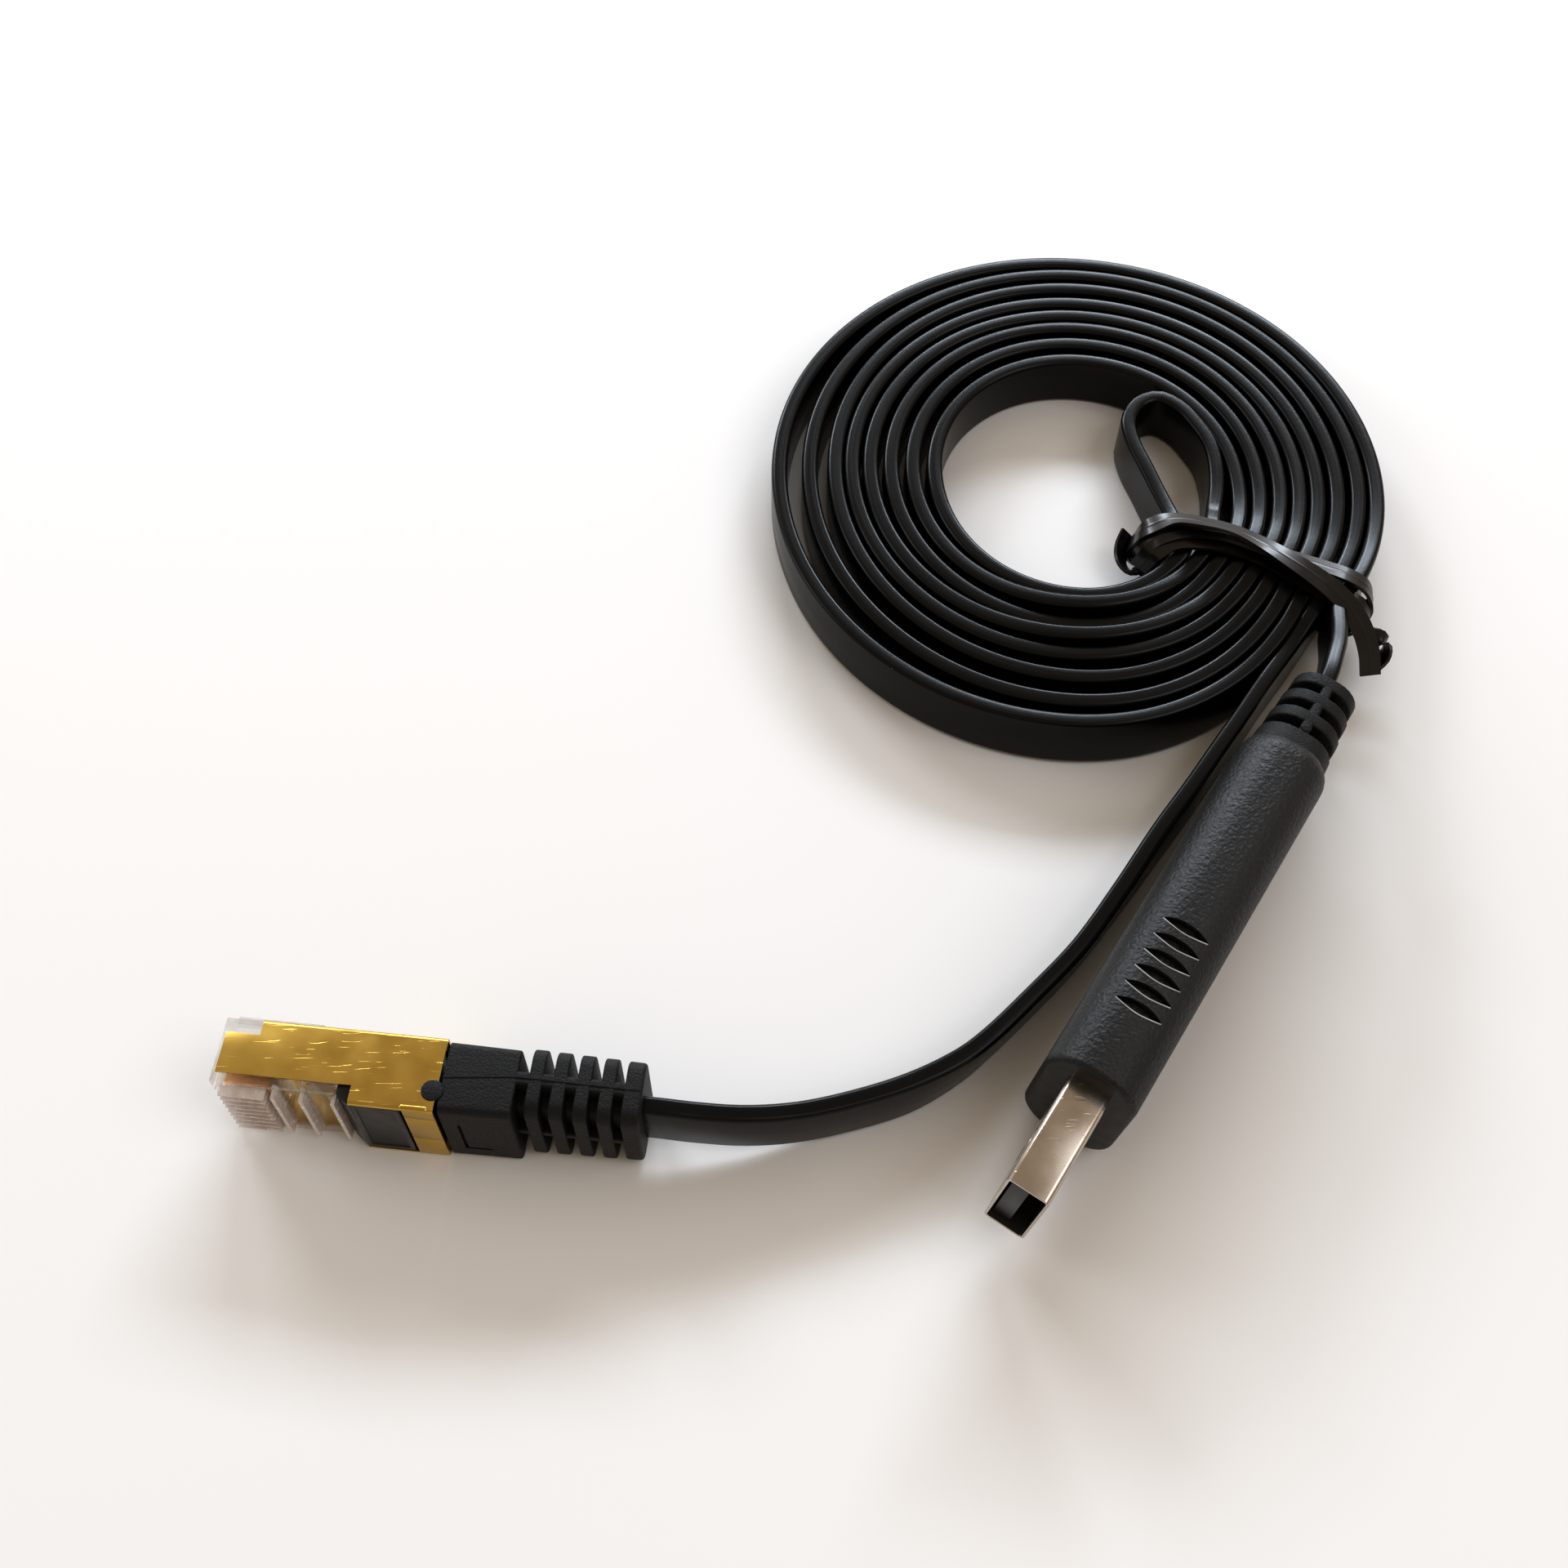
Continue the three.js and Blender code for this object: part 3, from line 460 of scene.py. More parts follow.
def row_tree():
    tree = bpy.data.node_groups.new("row_of_copies", "GeometryNodeTree")
    for name, kind in (("Geometry", "Geometry"), ("Count", "Int"), ("Pitch", "Float"),
                       ("Last scale across", "Float"), ("Last scale up", "Float"), ("Material", "Material")):
        tree.interface.new_socket(name, in_out="INPUT", socket_type=f"NodeSocket{kind}")
    tree.interface.new_socket("Geometry", in_out="OUTPUT", socket_type="NodeSocketGeometry")
    given = add_node(tree, "NodeGroupInput").outputs
    offset = add_node(tree, "ShaderNodeCombineXYZ", {"X": given["Pitch"]}).outputs[0]
    line = add_node(tree, "GeometryNodeMeshLine", {"Count": given["Count"], "Offset": offset}).outputs[0]
    last = add_node(tree, "ShaderNodeMath", {0: given["Count"], 1: 1.0}, operation="SUBTRACT").outputs[0]
    index = add_node(tree, "GeometryNodeInputIndex").outputs[0]
    part = add_node(tree, "ShaderNodeMath", {0: index, 1: last}, operation="DIVIDE").outputs[0]
    scales = [add_node(tree, "ShaderNodeMapRange", {0: part, 3: 1.0, 4: given[name]}).outputs[0]
              for name in ("Last scale across", "Last scale up")]
    scale = add_node(tree, "ShaderNodeCombineXYZ", {0: 1.0, 1: scales[0], 2: scales[1]}).outputs[0]
    copies = add_node(tree, "GeometryNodeInstanceOnPoints", {
        "Points": line, "Instance": given["Geometry"], "Scale": scale,
    }).outputs[0]
    real = add_node(tree, "GeometryNodeRealizeInstances", {0: copies}).outputs[0]
    finished = add_node(tree, "GeometryNodeSetMaterial", {"Geometry": real, "Material": given["Material"]})
    add_node(tree, "NodeGroupOutput", {"Geometry": finished.outputs[0]})
    return tree


ROW = row_tree()


def row_of(piece, count, pitch, last_scale=(1.0, 1.0)):
    """Repeats the piece along X, the last copy scaled as given across and up."""
    modifier = piece.modifiers.new("row", "NODES")
    modifier.node_group = ROW
    sockets = {item.name: item.identifier for item in ROW.interface.items_tree if item.in_out == "INPUT"}
    modifier[sockets["Count"]] = count
    modifier[sockets["Pitch"]] = float(pitch)
    modifier[sockets["Last scale across"]] = float(last_scale[0])
    modifier[sockets["Last scale up"]] = float(last_scale[1])
    modifier[sockets["Material"]] = piece.data.materials[0]
    return settle(piece)


# Cable: its whole route from the USB plug to the 8P8C plug, from the coil's centre

CABLE_WIDTH = 6.8
CABLE_THICKNESS = 1.95
CABLE_EDGE = 0.5
LOW = CABLE_WIDTH / 2 + 0.03
LINE_STEP = 1.2
USB_CABLE_START = 68.9

# Angles go round the coil from +X. The coil has eight strands, numbered from the inside.
TURN_STEP = 9
TIE_ANGLE = -38
TIE_LIFT = 1.0
TIE_REACH = 15
LIFT_ANGLE, LIFT_REACH = -88, 34
LEAN_ANGLE, LEAN_REACH = -95, 45
LEAN_LIFT = 0.011
USB_TAIL_RISE = 1.3
USB_TAIL_REACH = 42
FRONT_RADII = (19.7, 21.75, 24.2, 26.25, 28.6, 31.7, 35.1, 38.2)
FRONT_LIFTS = (0, 1.2, 0, 1.1, 0.2, 0, 0, 0)
FRONT_LEANS = (0, 0, 0, 0, 0, 0, 0, -6)
LEFT_RADII = (17.5, 20.2, 22.9, 25.5, 27.8, 29.9, 33.1, 36.9)
BACK_RADII = (19.2, 22.2, 25.1, 27.4, 29.8, 32.6, 35.2, 37.5)
RIGHT_RADII = (20.0, 22.6, 25.2, 27.6, 29.9, 32.4, 35.0, 37.2)
TIED_INNER_RADIUS = 17.4
TIED_PITCH = 2.13
HAIRPIN = (
    (15.7, -9.8), (16.2, -7.6), (17.2, -3.6), (17.7, 0.6), (17.4, 4.8), (16.1, 8.1), (14.4, 11.0),
    (11.9, 12.7), (9.2, 11.6), (7.6, 8.6), (7.8, 4.8), (8.9, 0.8), (10.2, -4.0), (11.4, -8.4), (12.3, -11.6),
)
USB_TAIL = ((25.0, -34.7, 8.6), (26.0, -32.2, 8.1), (26.8, -30.2, 7.6), (27.6, -27.6, 6.9))
NETWORK_TAIL = (
    (23.0, -27.0, LOW, 0), (18.9, -32.6, LOW, 0), (15.3, -37.8, LOW, 0), (13.2, -40.7, LOW, 0),
    (9.3, -46.2, LOW, 0), (5.0, -52.0, LOW, 0), (-0.4, -59.6, LOW, -4), (-5.5, -66.3, LOW, -7),
    (-10.8, -71.9, LOW, -7), (-15.5, -76.5, LOW, -7), (-18.3, -78.8, LOW, -5), (-23.6, -81.8, 3.5, 0),
    (-30.8, -84.2, 3.75, 0), (-35.7, -85.3, 4.1, 0), (-40.5, -85.8, 4.7, 0), (-45.3, -85.7, 5.3, 0),
)


def tied_radius(strand):
    return TIED_INNER_RADIUS + TIED_PITCH * strand


def turn_points(strand, start=TIE_ANGLE, fall=0.0):
    """One turn of the coil, clockwise from the tie round to it again, `fall` higher at its far end."""
    keys = [(-TIE_ANGLE, tied_radius(strand)), (90, FRONT_RADII[strand]), (180, LEFT_RADII[strand]),
            (270, BACK_RADII[strand]), (360, RIGHT_RADII[strand]),
            (360 - TIE_ANGLE, tied_radius(strand + 2))]
    angles = []
    angle = start
    while angle > TIE_ANGLE - 360 + 0.1:
        angles.append(angle)
        angle -= TURN_STEP
    places = []
    for angle in angles:
        radius = radius_at(keys, -angle)
        near_tie = min(abs(angle - TIE_ANGLE), abs(angle - TIE_ANGLE + 360))
        to_end = max(0.0, 1 - abs(angle - TIE_ANGLE + 360) / USB_TAIL_REACH)
        lift = FRONT_LIFTS[strand] * math.exp(-((angle - LIFT_ANGLE) / LIFT_REACH) ** 2)
        lift = max(TIE_LIFT * math.exp(-(near_tie / TIE_REACH) ** 2), lift)
        height = LOW + lift + fall * to_end ** 2
        lean = FRONT_LEANS[strand] * math.exp(-((angle - LEAN_ANGLE) / LEAN_REACH) ** 2)
        turn = math.radians(angle)
        places.append((radius * math.cos(turn), radius * math.sin(turn), height, lean))
    return places


def radius_at(keys, place):
    """The value at a place on a smooth curve through keys that ascend."""
    i = max(i for i in range(len(keys) - 1) if i == 0 or place >= keys[i][0])
    (x0, y0), (x1, y1) = keys[i], keys[i + 1]
    before = keys[max(i - 1, 0)]
    after = keys[min(i + 2, len(keys) - 1)]
    slope0 = (y1 - before[1]) / (x1 - before[0])
    slope1 = (after[1] - y0) / (after[0] - x0)
    part, span = (place - x0) / (x1 - x0), x1 - x0
    return ((2 * part ** 3 - 3 * part ** 2 + 1) * y0 + (part ** 3 - 2 * part ** 2 + part) * span * slope0
            + (-2 * part ** 3 + 3 * part ** 2) * y1 + (part ** 3 - part ** 2) * span * slope1)


def cable_route():
    """Points of the cable's centre with its lean, from inside the USB boot to inside the 8P8C boot."""
    from_coil = Matrix.Translation(-COIL)
    usb_end = from_coil @ USB_PLUG @ Vector((USB_CABLE_START, 0, 0))
    network_end = from_coil @ NETWORK_PLUG @ Vector((18.2, 0.15, 5.84))
    network_boot = from_coil @ NETWORK_PLUG @ Vector((21.5, 0.15, 5.8))
    route = [(*usb_end, 0)] + [(*point, 0) for point in USB_TAIL]
    end_of_turn = tied_radius(9)
    turn = math.radians(TIE_ANGLE)
    route.append((end_of_turn * math.cos(turn), end_of_turn * math.sin(turn),
                  LOW + TIE_LIFT + USB_TAIL_RISE, 0))
    for strand in (7, 5, 3, 1):
        route += reversed(turn_points(strand, fall=USB_TAIL_RISE if strand == 7 else 0))
    route += [(x, y, LOW + (TIE_LIFT if y < -9 else 0.3 if y < -7 else 0), 0) for x, y in HAIRPIN]
    route += turn_points(0, start=-50)
    for strand in (2, 4, 6):
        route += turn_points(strand)
    end_of_turn = tied_radius(8)
    route.append((end_of_turn * math.cos(turn), end_of_turn * math.sin(turn), LOW + TIE_LIFT, 0))
    route += NETWORK_TAIL
    route += [(*network_boot, 0), (*network_end, 0)]
    return [Vector((x, y, z + LEAN_LIFT * abs(lean), lean)) for x, y, z, lean in route]


def smooth_line(points, step):
    """Evenly spaced points on a centripetal Catmull-Rom curve through the given ones."""
    points = [2 * points[0] - points[1], *points, 2 * points[-1] - points[-2]]
    dense = []
    for i in range(1, len(points) - 2):
        p = points[i - 1:i + 3]
        t = [0.0]
        for a, b in zip(p, p[1:]):
            t.append(t[-1] + max((b.xyz - a.xyz).length, 1e-6) ** 0.5)
        for k in range(12):
            at = t[1] + (t[2] - t[1]) * k / 12
            a = [p[j].lerp(p[j + 1], (at - t[j]) / (t[j + 1] - t[j])) for j in range(3)]
            b = [a[j].lerp(a[j + 1], (at - t[j]) / (t[j + 2] - t[j])) for j in range(2)]
            dense.append(b[0].lerp(b[1], (at - t[1]) / (t[2] - t[1])))
    dense.append(points[-2])
    places = [0.0]
    for a, b in zip(dense, dense[1:]):
        places.append(places[-1] + (b.xyz - a.xyz).length)
    count = max(2, round(places[-1] / step))
    even, i = [], 0
    for k in range(count + 1):
        at = places[-1] * k / count
        while i < len(places) - 2 and places[i + 1] < at:
            i += 1
        span = places[i + 1] - places[i]
        even.append(dense[i].lerp(dense[i + 1], (at - places[i]) / span if span else 0))
    return even, places[-1]


def add_cable():
    line, length = smooth_line(cable_route(), LINE_STEP)
    section = rounded_rectangle(CABLE_THICKNESS, CABLE_WIDTH, CABLE_EDGE, 4)
    rings = []
    for i, point in enumerate(line):
        ahead = (line[min(i + 1, len(line) - 1)] - line[max(i - 1, 0)]).xyz.normalized()
        side = Vector((-ahead.y, ahead.x, 0)).normalized()
        up = ahead.cross(side)
        lean = math.radians(point.w)
        side, up = side * math.cos(lean) + up * math.sin(lean), up * math.cos(lean) - side * math.sin(lean)
        rings.append([point.xyz + side * a + up * b for a, b in section])
    points, faces = skin(rings)
    mesh = bpy.data.meshes.new("flat_cable")
    mesh.from_pydata(points, [], faces)
    mesh.materials.append(PVC)
    along = mesh.uv_layers.new(name="along")
    count = len(section)
    for polygon in mesh.polygons:
        closes_ring = max(vertex % count for vertex in polygon.vertices) == count - 1
        for loop in polygon.loop_indices:
            ring, place = divmod(mesh.loops[loop].vertex_index, count)
            if place == 0 and closes_ring:
                place = count
            along.data[loop].uv = (ring * length / (len(rings) - 1), place)
    cable = bpy.data.objects.new("flat_cable", mesh)
    bpy.context.scene.collection.objects.link(cable)
    shade(cable, 50)
    lay(cable, ON_COIL, "cable_pvc", "cable_coil", "cable_hairpin", "cable_tail_network", "cable_tail_usb")
    path = [(point.xyz + COIL) * MM for point in line]
    return cable, path, length * MM


# Twist tie: a flat strip with a wire in its middle, wrapped three times

TIE_CORE = (Vector((8.6, -11.2, 4.3)), Vector((31.0, -20.6, 4.3)))
TIE_WRAPS = (
    (7.0, -13.2, 3.6), (8.2, -13.5, 6.6), (10.5, -12.9, 8.05), (14.1, -13.1, 8.15), (17.6, -14.0, 8.15),
    (21.0, -15.6, 8.15), (24.2, -18.0, 8.2), (27.4, -20.4, 8.2), (30.6, -22.0, 7.8), (32.7, -22.4, 5.6),
    (32.2, -21.6, 2.2), (28.0, -19.6, 0.78), (19.0, -16.2, 0.78), (10.5, -13.0, 0.78), (7.1, -11.8, 2.2),
    (6.9, -12.4, 5.4), (8.4, -12.2, 7.8), (12.3, -11.8, 8.6), (16.6, -12.5, 8.7), (21.1, -14.6, 8.8),
    (24.6, -16.3, 9.0), (27.6, -17.8, 9.2), (30.4, -19.2, 9.2), (32.4, -20.2, 8.4), (33.4, -20.8, 6.2),
    (33.0, -20.4, 3.4), (31.4, -19.2, 1.2), (27.2, -17.2, 0.78), (18.2, -13.6, 0.78), (9.8, -10.6, 0.78),
    (6.6, -9.8, 2.4), (6.4, -10.6, 5.4), (7.4, -10.9, 8.0), (10.5, -10.3, 9.1), (14.2, -11.1, 9.4),
    (17.7, -12.4, 9.5), (20.9, -14.8, 9.7), (23.4, -17.2, 9.9), (25.8, -19.6, 10.0), (28.0, -22.0, 9.9),
    (29.8, -24.5, 9.3), (31.0, -26.6, 8.1), (31.8, -28.4, 6.4), (32.1, -30.2, 4.6),
)
TIE_CURL = (
    (31.2, -22.4, 3.4), (32.3, -24.2, 4.4), (33.6, -24.9, 4.8), (34.6, -25.8, 4.6), (34.3, -27.2, 4.0),
    (33.2, -28.0, 3.4),
)
TIE_KNOT = ((7.6, -12.6, 2.6), (6.2, -12.9, 2.2), (5.2, -11.6, 2.6), (5.4, -9.8, 3.0), (6.4, -7.8, 3.4))
TIE_WIDTH = 2.4
TIE_FILM = 0.4
TIE_WIRE = 0.5
TIE_STEP = 0.45


def strip(name, points, roll):
    """The tie's strip along points, flat against the bundle, turned by `roll` from its start to its end."""
    line, _ = smooth_line([Vector((*point, 0)) for point in points], TIE_STEP)
    half, film, wire = TIE_WIDTH / 2, TIE_FILM / 2, TIE_WIRE / 2
    slope, rise = wire * 0.7, wire * 0.8
    section = [(-half, -film), (-wire, -film), (-slope, -rise), (0, -wire), (slope, -rise), (wire, -film),
               (half, -film), (half, film), (wire, film), (slope, rise), (0, wire), (-slope, rise),
               (-wire, film), (-half, film)]
    start, end = TIE_CORE
    rings = []
    for i, point in enumerate(line):
        place = point.xyz
        ahead = (line[min(i + 1, len(line) - 1)] - line[max(i - 1, 0)]).xyz.normalized()
        part = min(1, max(0, (place - start).dot(end - start) / (end - start).length_squared))
        out = place - start.lerp(end, part)
        out = (out - ahead * out.dot(ahead)).normalized()
        across = ahead.cross(out)
        turn = math.radians(roll[0] + (roll[1] - roll[0]) * i / (len(line) - 1))
        across, out = (across * math.cos(turn) + out * math.sin(turn),
                       out * math.cos(turn) - across * math.sin(turn))
        rings.append([place + across * a + out * b for a, b in section])
    return make_mesh(name, *skin(rings), TIE)


def add_tie():
    tie = join("twist_tie_strip", [
        strip("wraps", TIE_WRAPS, (0, 0)), strip("curl", TIE_CURL, (0, 60)), strip("knot", TIE_KNOT, (0, 30)),
    ])
    shade(tie, 50)
    return lay(tie, ON_COIL, "tie_plastic", "twist_tie")


# USB-A plug

SHELL_OUT = 12.4
SHELL_SIZE = (4.5, 12)
SHELL_WALL = 0.3
SHELL_END = SHELL_OUT + 3
SHELL_WINDOW = (5.2, 7.4)
SHELL_WINDOW_WIDTH = 2.5
SHELL_WINDOW_OFFSET = 2.8
HOUSING_END = SHELL_OUT + 46.5
HOUSING_SIZE = (10, 17.5)
HOUSING_CORNER = 4.2
GROOVES = 6
GROOVE_PITCH = 2.05
GROOVE_HALF_LENGTH = 2.7
GROOVE_HALF_WIDTH = 0.575
FIRST_GROOVE = SHELL_OUT + 8.4
LIP_OFFSET = 0.63
LIP_RADIUS = 0.075
USB_BOOT_START = (8.8, 13)
USB_BOOT_END = (7.2, 10.6)
USB_BOOT_LENGTH = 11
USB_BOOT_CORNER = 3.4


def add_usb_shell():
    rings = []
    inner = [side - 2 * SHELL_WALL for side in SHELL_SIZE]
    for x, size, corner in ((SHELL_END, SHELL_SIZE, 0.6), (0, SHELL_SIZE, 0.6),
                            (0, inner, 0.3), (SHELL_END, inner, 0.3)):
        rings.append([(x, y, z) for y, z in rounded_rectangle(*size, corner, 5)])
    shell = make_mesh("plug_shell", *skin(rings, looped=True), NICKEL)
    half = SHELL_WINDOW_WIDTH / 2
    windows = [block(SHELL_WINDOW, (-5, 5), (middle - half, middle + half), NICKEL)
               for middle in (-SHELL_WINDOW_OFFSET, SHELL_WINDOW_OFFSET)]
    carve(shell, windows)
    soften(shell, 0.07)
    shell.data.materials.append(SHELL_INSIDE_SHADE)
    # The inward faces behind the front rim take the near-black material: painted shade inside the shell.
    for polygon in shell.data.polygons:
        centre, normal = polygon.center, polygon.normal
        if centre.x > 0.05 and (centre.y * normal.y < -0.5 or centre.z * normal.z < -0.5):
            polygon.material_index = 1
    shade(shell)
    return lay(shell, USB_PLUG, "nickel_steel", "usb_shell")


def grip_cutter():
    """A canoe-shaped groove with a bevelled lip, lengthwise along Y, its lip at z = 0."""
    rings = []
    for z, scale in ((-0.95, 0.5), (-0.8, 0.8), (-0.1, 1.0), (0.02, 1.1), (1.2, 1.3)):
        half_width, half_length = GROOVE_HALF_WIDTH * scale, GROOVE_HALF_LENGTH * (0.75 + 0.25 * scale)
        ring = []
        for side in (1, -1):
            for i in range(12):
                part = -1 + 2 * i / 12
                ring.append((side * half_width * (1 - part * part), side * part * half_length, z))
        rings.append(ring)
    return make_mesh("grip_groove", *skin(rings), HOUSING)


def groove_highlight_line():
    """The thin light edge along one side of a grip groove, on the curved edge of the housing: a painted
    highlight.
    """
    round_start = HOUSING_SIZE[0] / 2 - HOUSING_CORNER
    rings = []
    for i in range(17):
        part = -0.94 + 1.88 * i / 16
        y = GROOVE_HALF_LENGTH * part
        drop = HOUSING_CORNER - math.sqrt(HOUSING_CORNER ** 2 - max(0, abs(y) - round_start) ** 2)
        x = -LIP_OFFSET * (1 - part * part)
        rings.append([(x + LIP_RADIUS * math.cos(a), y, LIP_RADIUS * math.sin(a) - drop)
                      for a in (2 * math.pi * k / 6 for k in range(6))])
    return make_mesh("groove_highlight_line", *skin(rings), GROOVE_HIGHLIGHT)


def add_usb_housing():
    housing = bar("plug_housing", (SHELL_OUT, HOUSING_END), HOUSING_SIZE, HOUSING_CORNER, (0.7, 3.2),
                  HOUSING, steps=10, round_steps=8)
    highlight_lines = []
    for side in (1, -1):
        grooves = row_of(grip_cutter(), GROOVES, GROOVE_PITCH)
        # A row of thin light-grey tubes, one along each groove's lip: painted highlights.
        highlight_line = row_of(groove_highlight_line(), GROOVES, GROOVE_PITCH)
        turn = Matrix.Identity(4) if side > 0 else Matrix.Rotation(math.pi, 4, "X")
        for piece in (grooves, highlight_line):
            piece.data.transform(Matrix.Translation((FIRST_GROOVE, 0, side * HOUSING_SIZE[1] / 2)) @ turn)
        carve(housing, [grooves])
        highlight_lines.append(highlight_line)
    housing.data.materials.append(FRONT_FACE)
    for polygon in housing.data.polygons:
        if polygon.center.x < SHELL_OUT + 0.05:
            polygon.material_index = 1
    housing = join("plug_housing", [housing, *highlight_lines])
    shade(housing, 32)
    return lay(housing, USB_PLUG, "housing_plastic", "usb_housing")


def add_usb_boot():
    start, end = HOUSING_END, HOUSING_END + USB_BOOT_LENGTH
    shrink = [b / a for a, b in zip(USB_BOOT_START, USB_BOOT_END)]

    def size_at(x):
        part = (x - start) / (end - start)
        return [a * (1 + (s - 1) * part) for a, s in zip(USB_BOOT_START, shrink)]

    collar = bar("collar", (start - 0.6, start + 2.2), USB_BOOT_START, USB_BOOT_CORNER, (0.1, 0.35), BOOT,
                 size_at(start + 2.2))
    first_rib = start + 4.3
    first = size_at(first_rib)
    last = size_at(start + 10.15)
    ribs = bar("ribs", (-0.8, 0.8), first, USB_BOOT_CORNER, (0.25, 0.25), BOOT)
    row_of(ribs, 3, 2.9, [b / a for a, b in zip(first, last)])
    ribs.data.transform(Matrix.Translation((first_rib, 0, 0)))
    spine_size = size_at(start + 1)
    spine = bar("spine", (start + 1, end - 0.1), (1.2, spine_size[1] - 0.1), 0.35, (0.1, 0.1), BOOT,
                (1.2, size_at(end)[1] - 0.1))
    core = bar("core", (start, end - 0.2), (3.3, 7.8), 1.2, (0.1, 0.1), BOOT)
    spine_top = size_at(start + 2.7)[1] / 2
    gate = disc("gate", (start + 2.75, 0), 0.62, (spine_top - 0.4, spine_top + 0.12), 0.1, BOOT)
    boot = join("usb_strain_relief", [collar, ribs, spine, core, gate])
    shade(boot)
    return lay(boot, USB_PLUG, "boot_pvc", "usb_boot")


# 8P8C plug: its rear face at x = 0, its contact side at -Y

PLUG_WIDTH = 11.68
PLUG_MIDDLE = PLUG_WIDTH / 2
PLUG_DEPTH = 7.9
SHIELD_LENGTH = 22
SHIELD_WALL = 0.25
SHIELD_BAND = 3.1
SHIELD_BAND_SEAMS = (4.4, 9.6)
CONTACT_PITCH = 1.02
BOOT_BLOCK_END = 7.5
BOOT_TAIL_LENGTH = 12.2
FIRST_RIB, LAST_RIB = 9.3, 16.4
RIB_PITCH = 2.36
BOOT_TAIL_START = (7.28, 11.68)
BOOT_TAIL_END = (6.9, 11)
BOOT_TAIL_SHIFT = 0.6


def add_shield():
    rings = []
    for x, grow, corner in ((0, 0, 0.45), (-SHIELD_LENGTH, 0, 0.45),
                            (-SHIELD_LENGTH, SHIELD_WALL, 0.2), (0, SHIELD_WALL, 0.2)):
        ring = rounded_rectangle(PLUG_DEPTH - 2 * grow, PLUG_WIDTH - 2 * grow, corner, 5)
        rings.append([(x, y, z + PLUG_MIDDLE) for y, z in ring])
    shield = make_mesh("shield", *skin(rings, looped=True), GOLD)
    inside = (SHIELD_WALL + 0.15, PLUG_WIDTH - SHIELD_WALL - 0.15)
    # Cut away in turn: the contact side up to the band, the lower front of both side walls, the front of the
    # latch's side, the latch's opening and the band's seams.
    cutters = [
        block((-30, -SHIELD_BAND), (-9, -3.2), inside, GOLD),
        block((-30, -8.4), (-9, -2.0), (-1, 13), GOLD),
        block((-30, -18.6), (2.25, 9), (-1, 13), GOLD),
        block((-30, -8), (3.0, 9), (PLUG_MIDDLE - 3.9, PLUG_MIDDLE + 3.9), GOLD),
        *(block((-4, 1), (-4.2, -3.88), (z - 0.05, z + 0.05), GOLD) for z in SHIELD_BAND_SEAMS),
    ]
    carve(shield, cutters)
    soften(shield, 0.05)
    crimp = bar("crimp", (-3.4, -0.5), (0.7, 0.7), 0.34, (0.3, 0.3), GOLD)
    crimp.data.transform(Matrix.Translation((0, -3.62, PLUG_WIDTH - 0.3)))
    shield = join("shield", [shield, crimp])
    shade(shield)
    return lay(shield, NETWORK_PLUG, "gold_shield", "network_shield")


def refined(node, name, material, place, width=0):
    """A copy of a CAD node in its plug's frame, in millimetres. A width, where given, rounds its edges."""
    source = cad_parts[node]
    mesh = source.data.copy()
    mesh.name = name
    mesh.materials.clear()
    mesh.materials.append(material)
    mesh.transform(place.inverted() @ IN_METRES.inverted())
    piece = bpy.data.objects.new(name, mesh)
    bpy.context.scene.collection.objects.link(piece)
    if width:
        return shade(soften(piece, width))
    solid = bmesh.new()
    solid.from_mesh(mesh)
    bmesh.ops.remove_doubles(solid, verts=solid.verts, dist=1e-4)
    bmesh.ops.dissolve_limit(solid, angle_limit=math.radians(1), verts=solid.verts, edges=solid.edges)
    solid.to_mesh(mesh)
    solid.free()
    mesh.polygons.foreach_set("use_smooth", [False] * len(mesh.polygons))
    return piece


def parting_line():
    """The thin ridge along the top of the boot, where the two halves of its mould met."""
    tail_drop = (PLUG_WIDTH - BOOT_TAIL_END[1]) / 2
    section = ((-0.09, -0.1), (0.09, -0.1), (0.05, 0.07), (-0.05, 0.07))
    stations = ((0.35, -0.2, 0), (BOOT_BLOCK_END, BOOT_TAIL_SHIFT, 0), (19.6, BOOT_TAIL_SHIFT, tail_drop))
    rings = [[(x, y + a, PLUG_MIDDLE - drop + b) for a, b in section] for x, y, drop in stations]
    return make_mesh("parting_line", *skin(rings), BOOT)


